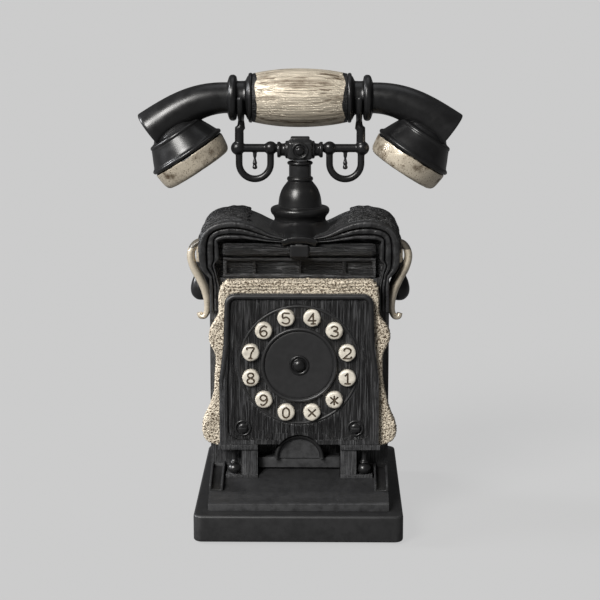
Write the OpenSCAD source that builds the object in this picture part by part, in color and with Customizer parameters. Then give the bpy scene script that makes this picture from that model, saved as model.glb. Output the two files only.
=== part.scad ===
// Corded cradle telephone with a ring of push keys, in antique style.
// Frame: origin at the centre of the underside, +X to the right, +Y to the back, +Z up.
// All sizes are in millimetres.

/* [Base] */
// Width of the base slab
base_w = 141; // [138:1:144]
// Depth of the base slab
base_d = 180; // [176:1:184]
// Height of the slab's top face above the table
slab_top = 20; // [19:0.5:22]
// Height of the rubber feet that show below the slab
foot_h = 1.5; // [1:0.25:2]
// Inset of the stepped platform from the slab's sides
step_inset = 9.5; // [9:0.5:10]
// Height of the flat deck that carries the body
deck_z = 40.2; // [39.5:0.1:41]

/* [Body and hood] */
// Width of the body shell
body_w = 123; // [121:1:124]
// Depth of the body shell
body_d = 64; // [62:1:66]
// Height where the body meets the hood
hood_z = 171.5; // [170:0.5:173]
// Height of the tops of the two shoulders
shoulder_top = 211.5; // [211:0.1:212.5]
// Wall thickness of the shells
wall = 4; // [3:0.5:5]

/* [Panel and keys] */
// Height of the centre of the key ring
dial_z = 114.2; // [113:0.1:116]
// Radius of the circle that the keys stand on
key_circle_r = 34; // [33.5:0.1:34.5]
// Diameter of a key cap
key_d = 11.8; // [11:0.1:12.2]
// Travel of a key when it is pressed
key_travel = 1.6; // [1.2:0.1:1.7]
// Width of the front panel at its foot
panel_w = 109; // [108:0.5:110]
// Width of the front panel at its top
panel_top_w = 101; // [100:0.5:102]

/* [Cradle] */
// Height of the cradle's cross bar
bar_z = 257; // [256:0.5:258]
// Distance of each cradle fork from the middle
fork_x = 40.7; // [40.5:0.1:40.9]

/* [Handset] */
// Height of the handset's axis on the cradle
handset_z = 291.7; // [291.7:0.1:292.5]
// Radius of the grip at its middle
grip_r = 20.2; // [19.5:0.1:20.4]
// Half of the grip's length
grip_x = 32.6; // [32:0.1:32.7]
// Tilt of the ear and mouth cups
cup_tilt = 33; // [31:0.5:35]

/* [Hidden] */

BLACK = [0.09, 0.09, 0.095];
SOOT = [0.14, 0.14, 0.145];
SILVER = [0.80, 0.75, 0.66];
STEEL = [0.55, 0.56, 0.58];
BOARD = [0.12, 0.32, 0.18];

play = 0.3;                        // gap between pieces that move past each other
slab_r = 5;                        // corner radius of the slab in plan
step_h = 4.5;                      // height of the flat step on the slab
step_top = slab_top + step_h;
step_w = base_w - 2 * step_inset;
ledge = 11.5;                      // ledge before and behind the step
step_d = base_d - 2 * ledge;
ramp_y = 36;                       // where each ramp reaches the deck
nose_y = step_d / 2;
rail_w = 9.4;                      // width of each side rail
rail_y = 64.5;                     // where each side rail starts
roof_z = 15;                       // underside of the slab's top wall
pocket_inset = 6;                  // side wall of the slab
plate_t = 2;
screw_x = base_w / 2 - 15;
screw_y = base_d / 2 - 15;

body_y = body_d / 2;               // front face at -body_y, back face at +body_y
frame_y = body_y + 5;              // front of the hood's moulding
saddle_z = 199.5;                  // hood's top between the shoulders
recess = 4;                        // depth of the hood's front recess

panel_front = 49.5;                // how far forward each panel surface stands
panel_field = 48;
panel_back = 45;
panel_foot_z = 58.6;
panel_top_z = 163.4;
trim_top_z = 171.4;
window_x = 44;                     // opening behind the panel
window_z0 = 73.5;
window_z1 = 156;
screw_px = 38.5;                     // the panel's two screws
screw_pz = 70;
post_x = 40;                       // posts of the key board
POST_Z = [79, 149];
key_r = key_d / 2;
key_front = panel_front + 2;
flange_front = panel_back - play;
flange_t = 1;
guide_front = flange_front - flange_t - key_travel - play;
guide_t = 1;
key_stem_r = 2.2;
key_stem_end = guide_front - guide_t - 1.2;
switch_front = key_stem_end - key_travel - play;
board_front = switch_front - 2;
board_t = 1.6;
KEY_ANGLES = [for (i = [0 : 11]) -15 + 30 * i];
roll_z = 191.2;                    // the rounded roll across the hood's recess
roll_y = 32.6;
roll_r = 4.5;
roll_x = 52;
arch_z = 47.3;                     // foot of the small round arch
arch_r = 17;

post_r = 5;
post_gap = 0.06;                   // running clearance of the post in the stem
hub_foot = 249.4;
hub_top = 262.5;
ball_out = 43;                     // where each hook's outer leg meets the bar
hook_mid = 31.3;                   // middle of each U-shaped hook
hook_r = 10.9;
hook_tube = 2.4;
hook_z = 246.4;
yoke_r = 14.4;
yoke_tube = 2.2;

neck_r = 11.6;
lip_x = 86.6;                      // centre of each cup's upper lip
lip_z = 267.3;

// ---------- shapes shared by several pieces ----------

// Points of an arc about (cx, cy)
function arc(cx, cy, r, a0, a1, n = 8) =
    [for (i = [0 : n]) [cx + r * cos(a0 + (a1 - a0) * i / n), cy + r * sin(a0 + (a1 - a0) * i / n)]];

// Outline of a rectangle with round corners, centred
function round_rect(w, d, r, n = 6) = concat(
    arc(w / 2 - r, d / 2 - r, r, 0, 90, n), arc(-w / 2 + r, d / 2 - r, r, 90, 180, n),
    arc(-w / 2 + r, -d / 2 + r, r, 180, 270, n), arc(w / 2 - r, -d / 2 + r, r, 270, 360, n));

// The right half of an outline, mirrored into a whole one
function both(half) =
    concat(half, [for (i = [len(half) - 1 : -1 : 0]) [-half[i][0], half[i][1]]]);

// A point of a cubic curve
function bezier(p, t) = pow(1 - t, 3) * p[0] + 3 * t * pow(1 - t, 2) * p[1]
    + 3 * t * t * (1 - t) * p[2] + pow(t, 3) * p[3];

// The slope of a cubic curve
function slope(p, t) = pow(1 - t, 2) * (p[1] - p[0]) + 2 * t * (1 - t) * (p[2] - p[1])
    + t * t * (p[3] - p[2]);

// A smooth line through hand-set points, with n steps between each two
function smooth(p, n = 2) = concat([for (i = [0 : len(p) - 2], k = [0 : n - 1]) let (t = k / n,
    a = p[max(i - 1, 0)], b = p[i], c = p[i + 1], d = p[min(i + 2, len(p) - 1)])
        b + (c - a) * t / 2 + (2 * a - 5 * b + 4 * c - d) * t * t / 2 + (3 * b - a - 3 * c + d) * pow(t, 3) / 2],
    [p[len(p) - 1]]);

// A block with round corners in plan and bevels round its top and foot
module soft_slab(w, d, z0, z1, r, bevel) hull() {
    translate([0, 0, z0 + bevel]) linear_extrude(z1 - z0 - 1.5 * bevel) polygon(round_rect(w, d, r));
    translate([0, 0, z0]) linear_extrude(z1 - z0) polygon(round_rect(w - 2 * bevel, d - 2 * bevel, r - bevel));
}

// Draws an outline given as [y, z] and gives it a width along X
module along_x(w) rotate([90, 0, 90]) linear_extrude(w, center = true) children();

// Draws an outline given as [x, z] between two distances in front of the middle
module facing(front, back) translate([0, -back, 0]) rotate([90, 0, 0]) linear_extrude(front - back) children();

// Turns a piece drawn along +Z so that it points to the front at a place given as x, z
module to_front(x, z, front) translate([x, -front, z]) rotate([-90, 0, 0]) children();

// A lathe shape from [radius, z] points
module lathe(points, sides = 48) rotate_extrude($fn = sides) polygon(points);

// Copies on the right and on the left
module sides() for (s = [0, 1]) mirror([s, 0, 0]) children();

// Places four copies at the corners of a rectangle
module corners(x, y) for (i = [-1, 1], j = [-1, 1]) translate([i * x, j * y, 0]) children();

// ---------- base ----------

module base_slab() color(BLACK) difference() {
    union() {
        difference() {
            soft_slab(base_w, base_d, foot_h, slab_top, slab_r, 2);
            translate([0, 0, foot_h - 1])
                linear_extrude(roof_z - foot_h + 1)
                    polygon(round_rect(base_w - 2 * pocket_inset, base_d - 2 * pocket_inset, 3));
        }
        corners(screw_x, screw_y) translate([0, 0, foot_h + plate_t]) cylinder(r = 4, h = roof_z - foot_h, $fn = 32);
    }
    corners(screw_x, screw_y) translate([0, 0, foot_h]) cylinder(r = 1.6, h = 12, $fn = 24);
    linear_extrude(slab_top + 1) polygon(round_rect(40, 40, 4));
}

ramp_half = [[nose_y, slab_top], [nose_y, step_top], [nose_y - 4, step_top + 1], [nose_y - 8, step_top + 3],
    [ramp_y, deck_z]];

module base_platform() color(BLACK) difference() {
    union() {
        along_x(step_w) polygon(both(ramp_half));
        translate([-28, -42, deck_z]) cube([56, 42 - body_y, arch_z - deck_z]);
    }
    // channels along the sides of the ramps
    sides() for (t = [0, 1]) mirror([0, t, 0])
        translate([step_w / 2, 0, 0]) along_x(2 * rail_w)
            polygon([[-rail_y, 29.5], [-rail_y, 60], [-body_y, 60], [-body_y, 37]]);
    // seats of the legs
    sides() translate([28, -50, 34.2]) cube([28, 50 - body_y, 12]);
    // hollow underside and the way up for the wires
    translate([-46, -30, slab_top - 1]) cube([92, 60, 16.5]);
    linear_extrude(60) polygon(round_rect(40, 40, 4));
}

// A shallow tray with raised rims along each side of a ramp
module side_rails() color(SOOT) sides() for (t = [0, 1]) mirror([0, t, 0])
    for (strip = [[rail_w, rail_w, 0], [rail_w, 1.4, 3.8], [1.4, 1.4, 3.2]])
        translate([step_w / 2 - strip[0] + strip[1] / 2, 0, 0]) along_x(strip[1])
            polygon([[-rail_y, 29.5], [-rail_y, 30.6 + strip[2]], [-body_y, 38.1 + strip[2]], [-body_y, 37]]);

module bottom_plate() color(SOOT) difference() {
    translate([0, 0, foot_h])
        linear_extrude(plate_t)
            polygon(round_rect(base_w - 2 * pocket_inset - 0.4, base_d - 2 * pocket_inset - 0.4, 2.8));
    corners(screw_x, screw_y) translate([0, 0, foot_h - 1]) cylinder(r = 1.8, h = 4, $fn = 24);
    corners(screw_x, screw_y) translate([0, 0, foot_h - 0.01]) cylinder(r1 = 3.3, r2 = 1.8, h = 1.5, $fn = 24);
}

module rubber_feet() color([0.05, 0.05, 0.05])
    corners(base_w / 2 - 27, base_d / 2 - 16) cylinder(r1 = 6.5, r2 = 7, h = foot_h, $fn = 32);

module ballast_weight() color(STEEL) difference() {
    translate([-44, -62, foot_h + plate_t]) cube([88, 124, 8]);
    linear_extrude(20) polygon(round_rect(44, 44, 4));
}

// ---------- body ----------

module body_shell() color(BLACK) difference() {
    union() {
        difference() {
            translate([-body_w / 2, -body_y, deck_z]) cube([body_w, body_d, hood_z - deck_z]);
            translate([-body_w / 2 + wall, -body_y + wall, deck_z - 1])
                cube([body_w - 2 * wall, body_d - 2 * wall, hood_z - deck_z + 2]);
            // windows for the key unit and for the back cover
            translate([-window_x + 9, -body_y - 1, window_z0 + 4])
                cube([2 * window_x - 18, wall + 2, window_z1 - window_z0 - 8]);
            translate([-50, body_y - wall - 1, 52]) cube([100, wall + 2, 110]);
        }
        translate([-body_w / 2 + 1, -body_y + 1, deck_z]) cube([body_w - 2, 10, 3]);
        translate([-body_w / 2 + 1, body_y - 11, deck_z]) cube([body_w - 2, 10, 3]);
        // posts that carry the key board
        for (x = [-post_x, post_x], z = POST_Z) to_front(x, z, board_front - board_t)
            cylinder(r = 3, h = board_front - board_t - body_y + 1, $fn = 32);
        // posts for the back cover's screws
        for (x = [-52.5, 52.5], z = [58, 156]) to_front(x, z, -body_y + 12) cylinder(r = 4.5, h = 11.5, $fn = 32);
    }
    for (x = [-52.5, 52.5], z = [58, 156]) to_front(x, z, -body_y + 10) cylinder(r = 1.6, h = 12, $fn = 24);
}

// Half outline of the hood from its foot over the shoulder to the saddle: x, z, and the share of
// an inset that is taken there
HOOD = smooth([[body_w / 2, hood_z, 0.5], [66.4, 176.6, 0.8], [68.7, 183, 1], [68.9, 191, 1], [67.9, 198.4, 0.95],
    [64.6, 204.7, 0.85], [58.4, 209.2, 0.85], [50, shoulder_top, 0.9], [42, shoulder_top, 0.9],
    [34.6, 209.7, 0.8], [27, 206.4, 0.65], [19, 202.2, 0.38], [8, saddle_z + 0.1, 0.2]]);

// The half outline moved inwards by d, and by at least a share of d
function hood_half(d, share = 0.2) = [for (i = [0 : len(HOOD) - 1]) let (
    here = [HOOD[i][0], HOOD[i][1]], move = d * max(HOOD[i][2], share),
    run = HOOD[min(i + 1, len(HOOD) - 1)] - HOOD[max(i - 1, 0)])
        i == 0 ? here - [move, 0] : here + [-run[1], run[0]] * move / norm([run[0], run[1]])];

module hood_shell() color(BLACK) difference() {
    facing(body_y, -body_y) polygon(both(hood_half(1)));
    facing(body_y + 1, body_y - recess) polygon(both(concat([[54.5, hood_z - 1]], hood_half(14))));
    facing(body_y - recess - 3, -body_y + 3) polygon(both(hood_half(5, 0.9)));
    facing(body_y - recess - 3, -body_y + wall)
        polygon([[-body_w / 2 + wall, hood_z - 1], [body_w / 2 - wall, hood_z - 1],
            [body_w / 2 - wall, hood_z + 8], [-body_w / 2 + wall, hood_z + 8]]);
    translate([0, 0, 185]) cylinder(r = 9, h = 30, $fn = 48);
}

// Curved covers over the two shoulders, each ending in a tip towards the stem
module hood_caps() color(SOOT) sides() facing(body_y - 1, -body_y)
    polygon(concat([for (i = [6 : 19]) hood_half(0)[i]], [for (i = [19 : -1 : 6]) hood_half(1)[i]]));

module frame_band(d0, d1, front) difference() {
    facing(front, body_y) polygon(both(hood_half(d0)));
    facing(front + 1, body_y - 1) polygon(both(concat([[body_w / 2 - d1 / 2, hood_z - 1]], hood_half(d1))));
}

module hood_frame() color(BLACK) union() {
    frame_band(0.5, 6, frame_y);
    frame_band(5.4, 11, frame_y - 1.6);
    frame_band(10.4, 14.5, frame_y - 0.6);
    sides() for (strip = [[57.6, 3.5, 3.5], [54.9, 2.3, 2.6]])
        translate([strip[0], -body_y - strip[2], 149]) cube([strip[1], strip[2], hood_z - 148.5]);
}

module hood_roll() color(SOOT) translate([0, -roll_y, roll_z]) rotate([0, 90, 0])
    lathe([[0, -roll_x], [3.4, -roll_x], [roll_r, 2.2 - roll_x], [roll_r, roll_x - 2.2], [3.4, roll_x], [0, roll_x]]);

module hood_clasp() color(BLACK) difference() {
    translate([-6.5, -frame_y - 1.5, 186]) cube([13, 10.5, 9.4]);
    translate([0, -roll_y, roll_z]) rotate([0, 90, 0]) cylinder(r = roll_r, h = 30, center = true, $fn = 48);
    translate([-7, -roll_y, 180]) cube([14, 10, 20]);
}

module slat_rail() color(SOOT) difference() {
    translate([-52, -body_y - 0.6, 172]) cube([104, recess + 0.6, 13.6]);
    for (slot = [[-49.5, 17.5], [-29.6, 28.4], [1.2, 28.4], [32, 17.5]])
        translate([slot[0], -body_y - 1, 174.8]) cube([slot[1], 2.2, 8.4]);
}

module surround_trim() color(SILVER) difference() {
    facing(panel_back, body_y) polygon(both(smooth([[54, 57], [58.5, 57.4], [64.4, 60.2], [66.4, 66.4],
        [65, 74.5], [61, 84], [57.9, 96], [56.7, 108], [56.8, 120], [59.8, 126.5], [61.5, 132.5], [60.1, 139],
        [56.4, 144.4], [53.8, 149], [54.2, 160], [52.8, 166.8], [49.6, 170.4], [44, trim_top_z]])));
    facing(panel_back + 1, body_y - 1)
        polygon([[-window_x, window_z0], [window_x, window_z0], [window_x, window_z1], [-window_x, window_z1]]);
    // room for the legs' heads and the arch under the panel
    translate([-28.2, -60, 50]) cube([56.4, 60, 14.5]);
    for (x = [-screw_px, screw_px]) to_front(x, screw_pz, 60) cylinder(r = 1.6, h = 22, $fn = 24);
}

panel_flare = [104, 128];           // the sides widen from the upper height to the lower

function panel_half(d) = concat([[panel_w / 2 - d, panel_foot_z + d], [panel_w / 2 - d, panel_flare[0]],
    [panel_top_w / 2 + 1 - d, panel_flare[1]]], arc(panel_top_w / 2 - 7, panel_top_z - 7, 7 - d, 0, 90, 6));

module front_panel() color(BLACK) difference() {
    facing(panel_front, panel_back) polygon(both(panel_half(0)));
    facing(panel_front + 1, panel_field) polygon(both(concat(
        [[38, panel_foot_z + 3]], arc(41, panel_foot_z + 11, 8, -80, 0, 5), [[49, panel_flare[0]],
        [47.6, panel_flare[1]]], arc(42.7, panel_top_z - 7.7, 4.5, 0, 90, 5))));
    to_front(0, arch_z, 60) cylinder(r = arch_r + 0.6, h = 30, $fn = 64);
    for (a = KEY_ANGLES) translate([key_circle_r * cos(a), 0, dial_z + key_circle_r * sin(a)])
        to_front(0, 0, 60) cylinder(r = key_r + play, h = 30, $fn = 48);
    to_front(0, dial_z, 60) cylinder(r = 3, h = 30, $fn = 32);
    for (x = [-screw_px, screw_px]) to_front(x, screw_pz, 60) cylinder(r = 1.6, h = 30, $fn = 24);
}

module panel_screws() color(SOOT) for (x = [-screw_px, screw_px]) difference() {
    to_front(x, screw_pz, panel_field + 1.4)
        lathe([[0, 0], [3.2, 0.4], [3.6, 1.4], [1.5, 1.4], [1.5, 10], [0, 10]], 32);
    translate([x - 3, -panel_field - 2, screw_pz - 0.4]) cube([6, 1.2, 0.8]);
}

module ringer_arch() color(BLACK) difference() {
    union() {
        difference() {
            to_front(0, arch_z, 45.5) cylinder(r = arch_r, h = 45.5 - 38, $fn = 64);
            to_front(0, arch_z, 46) cylinder(r = arch_r - 2.6, h = 3.5, $fn = 64);
        }
        to_front(0, arch_z, 39) cylinder(r = arch_r - 3, h = 39 - body_y, $fn = 64);
    }
    translate([-25, -60, arch_z - 30]) cube([50, 60, 30]);
}

module legs() color(BLACK) sides() {
    translate([28.4, -50, 34.3]) cube([22, 17.6, 2.7]);
    translate([28.4, -49, 36.9]) cube([11, 16.6, 18.2]);
    translate([28.4, -50.4, 55]) cube([27.2, 5.3, 3.4]);
    translate([28.4, -45.3, 55]) cube([27.2, 13, 1.8]);
}

module leg_spindles() color(SOOT) sides() translate([44.6, -45, 37])
    lathe([[0, 0], [2.4, 0], [4, 1.6], [4.6, 3.8], [3.6, 6.2], [2, 7.4], [2.9, 8.4], [2, 9.6], [1.6, 15],
        [2.8, 17], [2.8, 18], [0, 18]], 32);

// ---------- side ornaments ----------

strap_points = smooth([[66, 196.4], [70.8, 194.6], [74.4, 190.4], [75.3, 185], [73.6, 178.8], [69.8, 171.5],
    [66, 164], [63.4, 156], [62.8, 149], [63.8, 144.2], [66, 141.6]]);

// What the side ornaments are cut back to: the outline of the hood and body
module flank() facing(60, -60) polygon(both(concat([[body_w / 2, 120]], hood_half(0))));

module side_straps() color(SILVER) sides() difference() {
    facing(31, 19) polygon(concat(
        strap_points, [for (i = [len(strap_points) - 1 : -1 : 0]) strap_points[i] - [1.6, 1.2]]));
    flank();
}

module side_hooks() color(BLACK) sides() translate([69.5, 4, 0]) difference() {
    lathe([[0, 149.3], [4, 150.4], [6.8, 153.6], [7.5, 157.6], [6.4, 163], [4.2, 168.5], [3, 174], [2.6, 180],
        [0, 182]], 32);
    translate([-69.5, 0, 0]) flank();
}

// ---------- back ----------

jack_z = 62;
jack_x = 25;
jack_w = 16;
jack_h = 14;

module back_cover() color(SOOT) difference() {
    translate([-56, body_y, 46]) cube([112, 2.5, 120]);
    for (x = [-jack_x, jack_x]) translate([x - jack_w / 2 - 0.2, body_y - 1, jack_z - jack_h / 2 - 0.2])
        cube([jack_w + 0.4, 5, jack_h + 0.4]);
    translate([-6.4, body_y - 1, jack_z - 2.4]) cube([14.8, 5, 4.8]);
    for (i = [0 : 6]) translate([-24, body_y - 1, 98 + i * 6]) cube([48, 5, 2.4]);
    for (x = [-52.5, 52.5], z = [58, 156]) to_front(x, z, -body_y + 1) mirror([0, 0, 1])
        translate([0, 0, -1]) cylinder(r = 1.8, h = 8, center = true, $fn = 24);
}

// Screws of the bottom plate and of the back cover
module case_screws() color(STEEL) {
    corners(screw_x, screw_y) translate([0, 0, foot_h])
        lathe([[0, 0], [3.2, 0], [1.5, 1.7], [1.5, 9], [0, 10]], 24);
    for (x = [-52.5, 52.5], z = [58, 156]) translate([x, body_y + 4.1, z]) rotate([90, 0, 0])
        lathe([[0, 0], [2.2, 0.2], [3.2, 1.6], [1.5, 1.6], [1.5, 11], [0, 12]], 24);
}

// A modular socket that faces the back; its plug goes in along -Y
module jack(x, slot_w, slot_h) translate([x, 0, jack_z]) difference() {
    translate([-jack_w / 2, body_y - 13, -jack_h / 2]) cube([jack_w, 16, jack_h]);
    translate([-slot_w / 2, body_y - 9, -slot_h / 2]) cube([slot_w, 13, slot_h]);
}

module line_jack() color(SILVER) jack(-jack_x, 9.9, 7);

module cord_jack() color(SOOT) jack(jack_x, 7.9, 7);

module ringer_switch() color(SILVER) {
    translate([-6, body_y - 2.4, jack_z - 4]) cube([8, 2, 8]);
    translate([-4.4, body_y - 0.5, jack_z - 1.9]) cube([4.8, 5, 3.8]);
}

// ---------- key unit and works ----------

module dial_ring() color(BLACK) difference() {
    to_front(0, dial_z, panel_field + 1) cylinder(r = 41.6, h = 1, $fn = 96);
    to_front(0, dial_z, panel_field + 2) cylinder(r = 40.6, h = 4, $fn = 96);
}

module dial_disc() color(BLACK) difference() {
    to_front(0, dial_z, panel_field + 2)
        lathe([[0, 1], [23.6, 1], [23.8, 0.4], [24.6, 0], [25.6, 0.2], [26.2, 1], [26.2, 2], [0, 2]], 96);
    to_front(0, dial_z, 60) cylinder(r = 3, h = 30, $fn = 32);
}

module dial_hub() color(BLACK) to_front(0, dial_z, panel_field + 4.4)
    lathe([[0, 0], [2, 0.4], [3.6, 1.4], [4.2, 2.6], [4.6, 2.6], [5.6, 2.1], [6.8, 2.4], [6.85, 3.4], [2.9, 3.4],
        [2.9, 8.4], [0, 8.4]], 48);

module key_guide() color(SOOT) difference() {
    union() {
        translate([-window_x + 0.3, -guide_front, window_z0 + 0.3])
            cube([2 * window_x - 0.6, guide_t, window_z1 - window_z0 - 0.6]);
        for (x = [-post_x, post_x], z = POST_Z) to_front(x, z, guide_front - 0.5)
            cylinder(r = 2.5, h = guide_front - 0.5 - board_front, $fn = 32);
    }
    for (a = KEY_ANGLES) translate([key_circle_r * cos(a), 0, dial_z + key_circle_r * sin(a)])
        to_front(0, 0, 60) cylinder(r = key_stem_r + play, h = 40, $fn = 32);
}

module keypad_board() color(BOARD) union() {
    translate([-window_x + 1, -board_front, window_z0 + 1])
        cube([2 * window_x - 2, board_t, window_z1 - window_z0 - 2]);
    for (a = KEY_ANGLES) translate([key_circle_r * cos(a), 0, dial_z + key_circle_r * sin(a)])
        to_front(0, 0, switch_front) cylinder(r = 3, h = switch_front - board_front + 0.5, $fn = 32);
}

module key(i) color(SILVER) translate([key_circle_r * cos(KEY_ANGLES[i]), 0, dial_z + key_circle_r * sin(KEY_ANGLES[i])])
    to_front(0, 0, key_front)
        lathe([[0, 0], [key_r - 1.4, 0], [key_r - 0.4, 0.4], [key_r, 1.4], [key_r, key_front - flange_front],
            [key_r + 1, key_front - flange_front], [key_r + 1, key_front - flange_front + flange_t],
            [key_stem_r, key_front - flange_front + flange_t], [key_stem_r, key_front - key_stem_end],
            [0, key_front - key_stem_end]]);

module main_board() color(BOARD) {
    translate([-42, 8, 76]) cube([84, 1.6, 82]);
    translate([-20, 3, 96]) cube([26, 5, 20]);
    translate([16, 2, 130]) cube([14, 6, 14]);
    for (x = [-38, 38]) translate([x - 3, 9.6, 100]) cube([6, body_y - 9.6, 6]);
}

module ringer_speaker() color(STEEL) translate([0, -body_y + wall, 58]) rotate([-90, 0, 0])
    lathe([[0, 0], [11, 0], [11, 3], [9, 5], [9, 12], [0, 12]], 48);

module hook_switch() color(SOOT) union() {
    translate([-10, -16, 172]) cube([20, 10, 9]);
    translate([-3, -14, 181]) cube([6, 18, 1.2]);
    translate([-57, -14, 172]) cube([114, 6, 2.4]);
}

// ---------- stem and cradle ----------

module stem() color(BLACK) difference() {
    union() {
        lathe([[0, 196], [24, 196], [24, 199.6], [20.5, 202.4], [18.2, 205.4], [17.7, 208], [18.6, 210.8],
            [20, 212.6], [20.3, 214.6], [19.4, 216], [15.4, 216.8], [14.9, 219], [14.2, 223.6], [12.4, 228.4],
            [9.8, 232.4], [8.2, 234.4], [8.6, 235.4], [8.6, 236.8], [7.4, 237.6], [7.4, 245.4], [8.8, 246.2],
            [8.8, 248], [0, 248]], 64);
        facing(frame_y + 1.2, 0) polygon([[-15, 195.9], [15, 195.9], [9.5, 205], [-9.5, 205]]);
    }
    translate([0, 0, 190]) cylinder(r = post_r + post_gap, h = 70, $fn = 48);
    // seat on the hood's top
    facing(frame_y, -body_y) polygon(both(hood_half(0)));
}

module cradle_post() color(STEEL) union() {
    translate([0, 0, 186]) cylinder(r = post_r, h = 68, $fn = 48);
    translate([0, 0, 183.4]) cylinder(r = 7.6, h = 3, $fn = 48);
}

module cradle_hub() color(BLACK) difference() {
    union() {
        translate([-8.7, -8, hub_foot]) cube([17.4, 16, hub_top - hub_foot]);
        translate([-6.6, -6.2, hub_top - 0.1]) cube([13.2, 12.4, 2.3]);
        to_front(0, bar_z, 10.4) lathe([[0, 0.4], [3.8, 0.4], [4.6, 1.2], [4.6, 3], [0, 3]], 32);
        sides() translate([8.6, 0, bar_z]) rotate([0, 90, 0])
            lathe([[0, 0], [6, 0], [6, 1.6], [4.4, 2.4], [4.4, 4.8], [5.4, 5.4], [5.4, 7.2], [0, 7.2]], 32);
    }
    translate([0, 0, hub_foot - 1]) cylinder(r = post_r, h = 254 - hub_foot + 1, $fn = 48);
}

// Bar, U-shaped hook with a turned drop, upright and fork of the right side
module cradle_arm() color(BLACK) union() {
    translate([15.8, 0, bar_z]) rotate([0, 90, 0]) cylinder(r = 2.9, h = ball_out - 15.8, $fn = 32);
    translate([hook_mid - hook_r, 0, bar_z]) sphere(r = 4.7, $fn = 32);
    translate([ball_out, 0, bar_z]) sphere(r = 4.9, $fn = 32);
    for (s = [-1, 1]) translate([hook_mid + s * hook_r, 0, hook_z]) cylinder(r = hook_tube, h = bar_z - hook_z, $fn = 24);
    translate([hook_mid, 0, hook_z]) rotate([90, 180, 0])
        rotate_extrude(angle = 180, $fn = 48) translate([hook_r, 0]) circle(r = hook_tube, $fn = 24);
    translate([hook_mid, 0, 242]) lathe([[0, 0], [1.5, 0.6], [1.9, 1.8], [1.2, 3.2], [1.7, 4.6], [1.2, 6], [0.8, 8],
        [1.4, 9.6], [1.4, 13], [0, 13]], 24);
    // upright
    translate([fork_x + 1.3, 0, bar_z]) cylinder(r = 3.1, h = 15, $fn = 32);
    translate([fork_x, 0, 270]) lathe([[0, 0], [3, 0], [2.3, 6], [0, 6]], 32);
    // fork around the handset's neck
    translate([fork_x, 0, handset_z]) rotate([0, 90, 0]) rotate([0, 0, -90])
        rotate_extrude(angle = 180, $fn = 64) translate([yoke_r, 0]) circle(r = yoke_tube, $fn = 24);
    for (s = [-1, 1]) translate([fork_x, s * yoke_r, handset_z]) sphere(r = yoke_tube + 0.1, $fn = 24);
}

module cradle_arm_left() mirror([1, 0, 0]) cradle_arm();

module cradle_arm_right() cradle_arm();

// ---------- handset ----------

module along_handset() translate([0, 0, handset_z]) rotate([0, 90, 0]) children();

module handset_grip() color(SILVER) along_handset() difference() {
    lathe(concat([[0, -grip_x]],
        [for (i = [-8 : 8]) [grip_r - (grip_r - 16.7) * pow(abs(i) / 8, 2.2), grip_x * i / 8]], [[0, grip_x]]), 64);
    cylinder(r = 7, h = 3 * grip_x, center = true, $fn = 48);
}

module handset_ferrules() color(BLACK) sides() along_handset() difference() {
    lathe([[0, 32.7], [16.6, 32.7], [17.1, 34], [16.4, 35.4], [14, 36], [13.4, 36.8], [neck_r, 37.4], [neck_r, 43.4],
        [14.6, 44], [15.7, 45.4], [15.7, 47.4], [14.4, 48.8], [10.7, 50], [0, 50]], 64);
    cylinder(r = 7, h = 200, center = true, $fn = 48);
}

// Path of the right arm's axis as [x, z], from the ferrule to the cut end
arm_curve = [[50, handset_z], [72, handset_z], [85.4, 281.6], [103.4, 267.9]];
arm_steps = 12;
arm_sides = 24;

function arm_radius(t) = 10.6 + 4.4 * pow(t, 1.3);
function arm_ring(t, r) = let (c = bezier(arm_curve, t), h = slope(arm_curve, t), u = h / norm(h))
    [for (j = [0 : arm_sides - 1]) let (a = 360 * j / arm_sides)
        [c[0] - u[1] * r * cos(a), r * sin(a), c[1] + u[0] * r * cos(a)]];

// Quads between ring i and ring i + 1, turned over for an inner wall
function band(i, k, flip) = [for (j = [0 : k - 1]) let (
    a = i * k + j, b = i * k + (j + 1) % k, c = (i + 1) * k + (j + 1) % k, d = (i + 1) * k + j)
        flip ? [d, c, b, a] : [a, b, c, d]];

module handset_arm_right() color(BLACK) {
    rings = concat([for (i = [0 : arm_steps]) arm_ring(i / arm_steps, arm_radius(i / arm_steps))],
        [for (i = [arm_steps : -1 : 0]) arm_ring(i / arm_steps * 0.8, arm_radius(i / arm_steps) - 3.4)]);
    last = len(rings) - 1;
    k = arm_sides;
    polyhedron([for (r = rings) for (p = r) p], concat(
        [for (i = [0 : arm_steps - 1]) for (q = band(i, k, false)) q],
        [[for (j = [0 : k - 1]) arm_steps * k + j]],
        [[for (j = [k - 1 : -1 : 0]) (arm_steps + 1) * k + j]],
        [for (i = [arm_steps + 1 : last - 1]) for (q = band(i, k, false)) q],
        [for (j = [0 : k - 1]) [last * k + j, last * k + (j + 1) % k, (j + 1) % k, j]]), convexity = 6);
}

module handset_arm_left() mirror([1, 0, 0]) handset_arm_right();

// Draws a piece in the frame of the right cup: its lip at z = 0, its face downwards
module at_cup() translate([lip_x, 0, lip_z]) rotate([0, cup_tilt, 0]) children();

module cup() at_cup() lathe([[12, 3], [15.4, 3], [16.4, 1.4], [19.4, 0.6], [20.2, -0.6], [20.2, -1.8], [21, -3],
    [25.7, -12.6], [26.6, -13.6], [27.6, -14.4], [27.6, -16], [26.8, -16.7], [23, -16.7], [22, -12.6], [18, -3.4],
    [12, -2]], 64);

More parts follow.
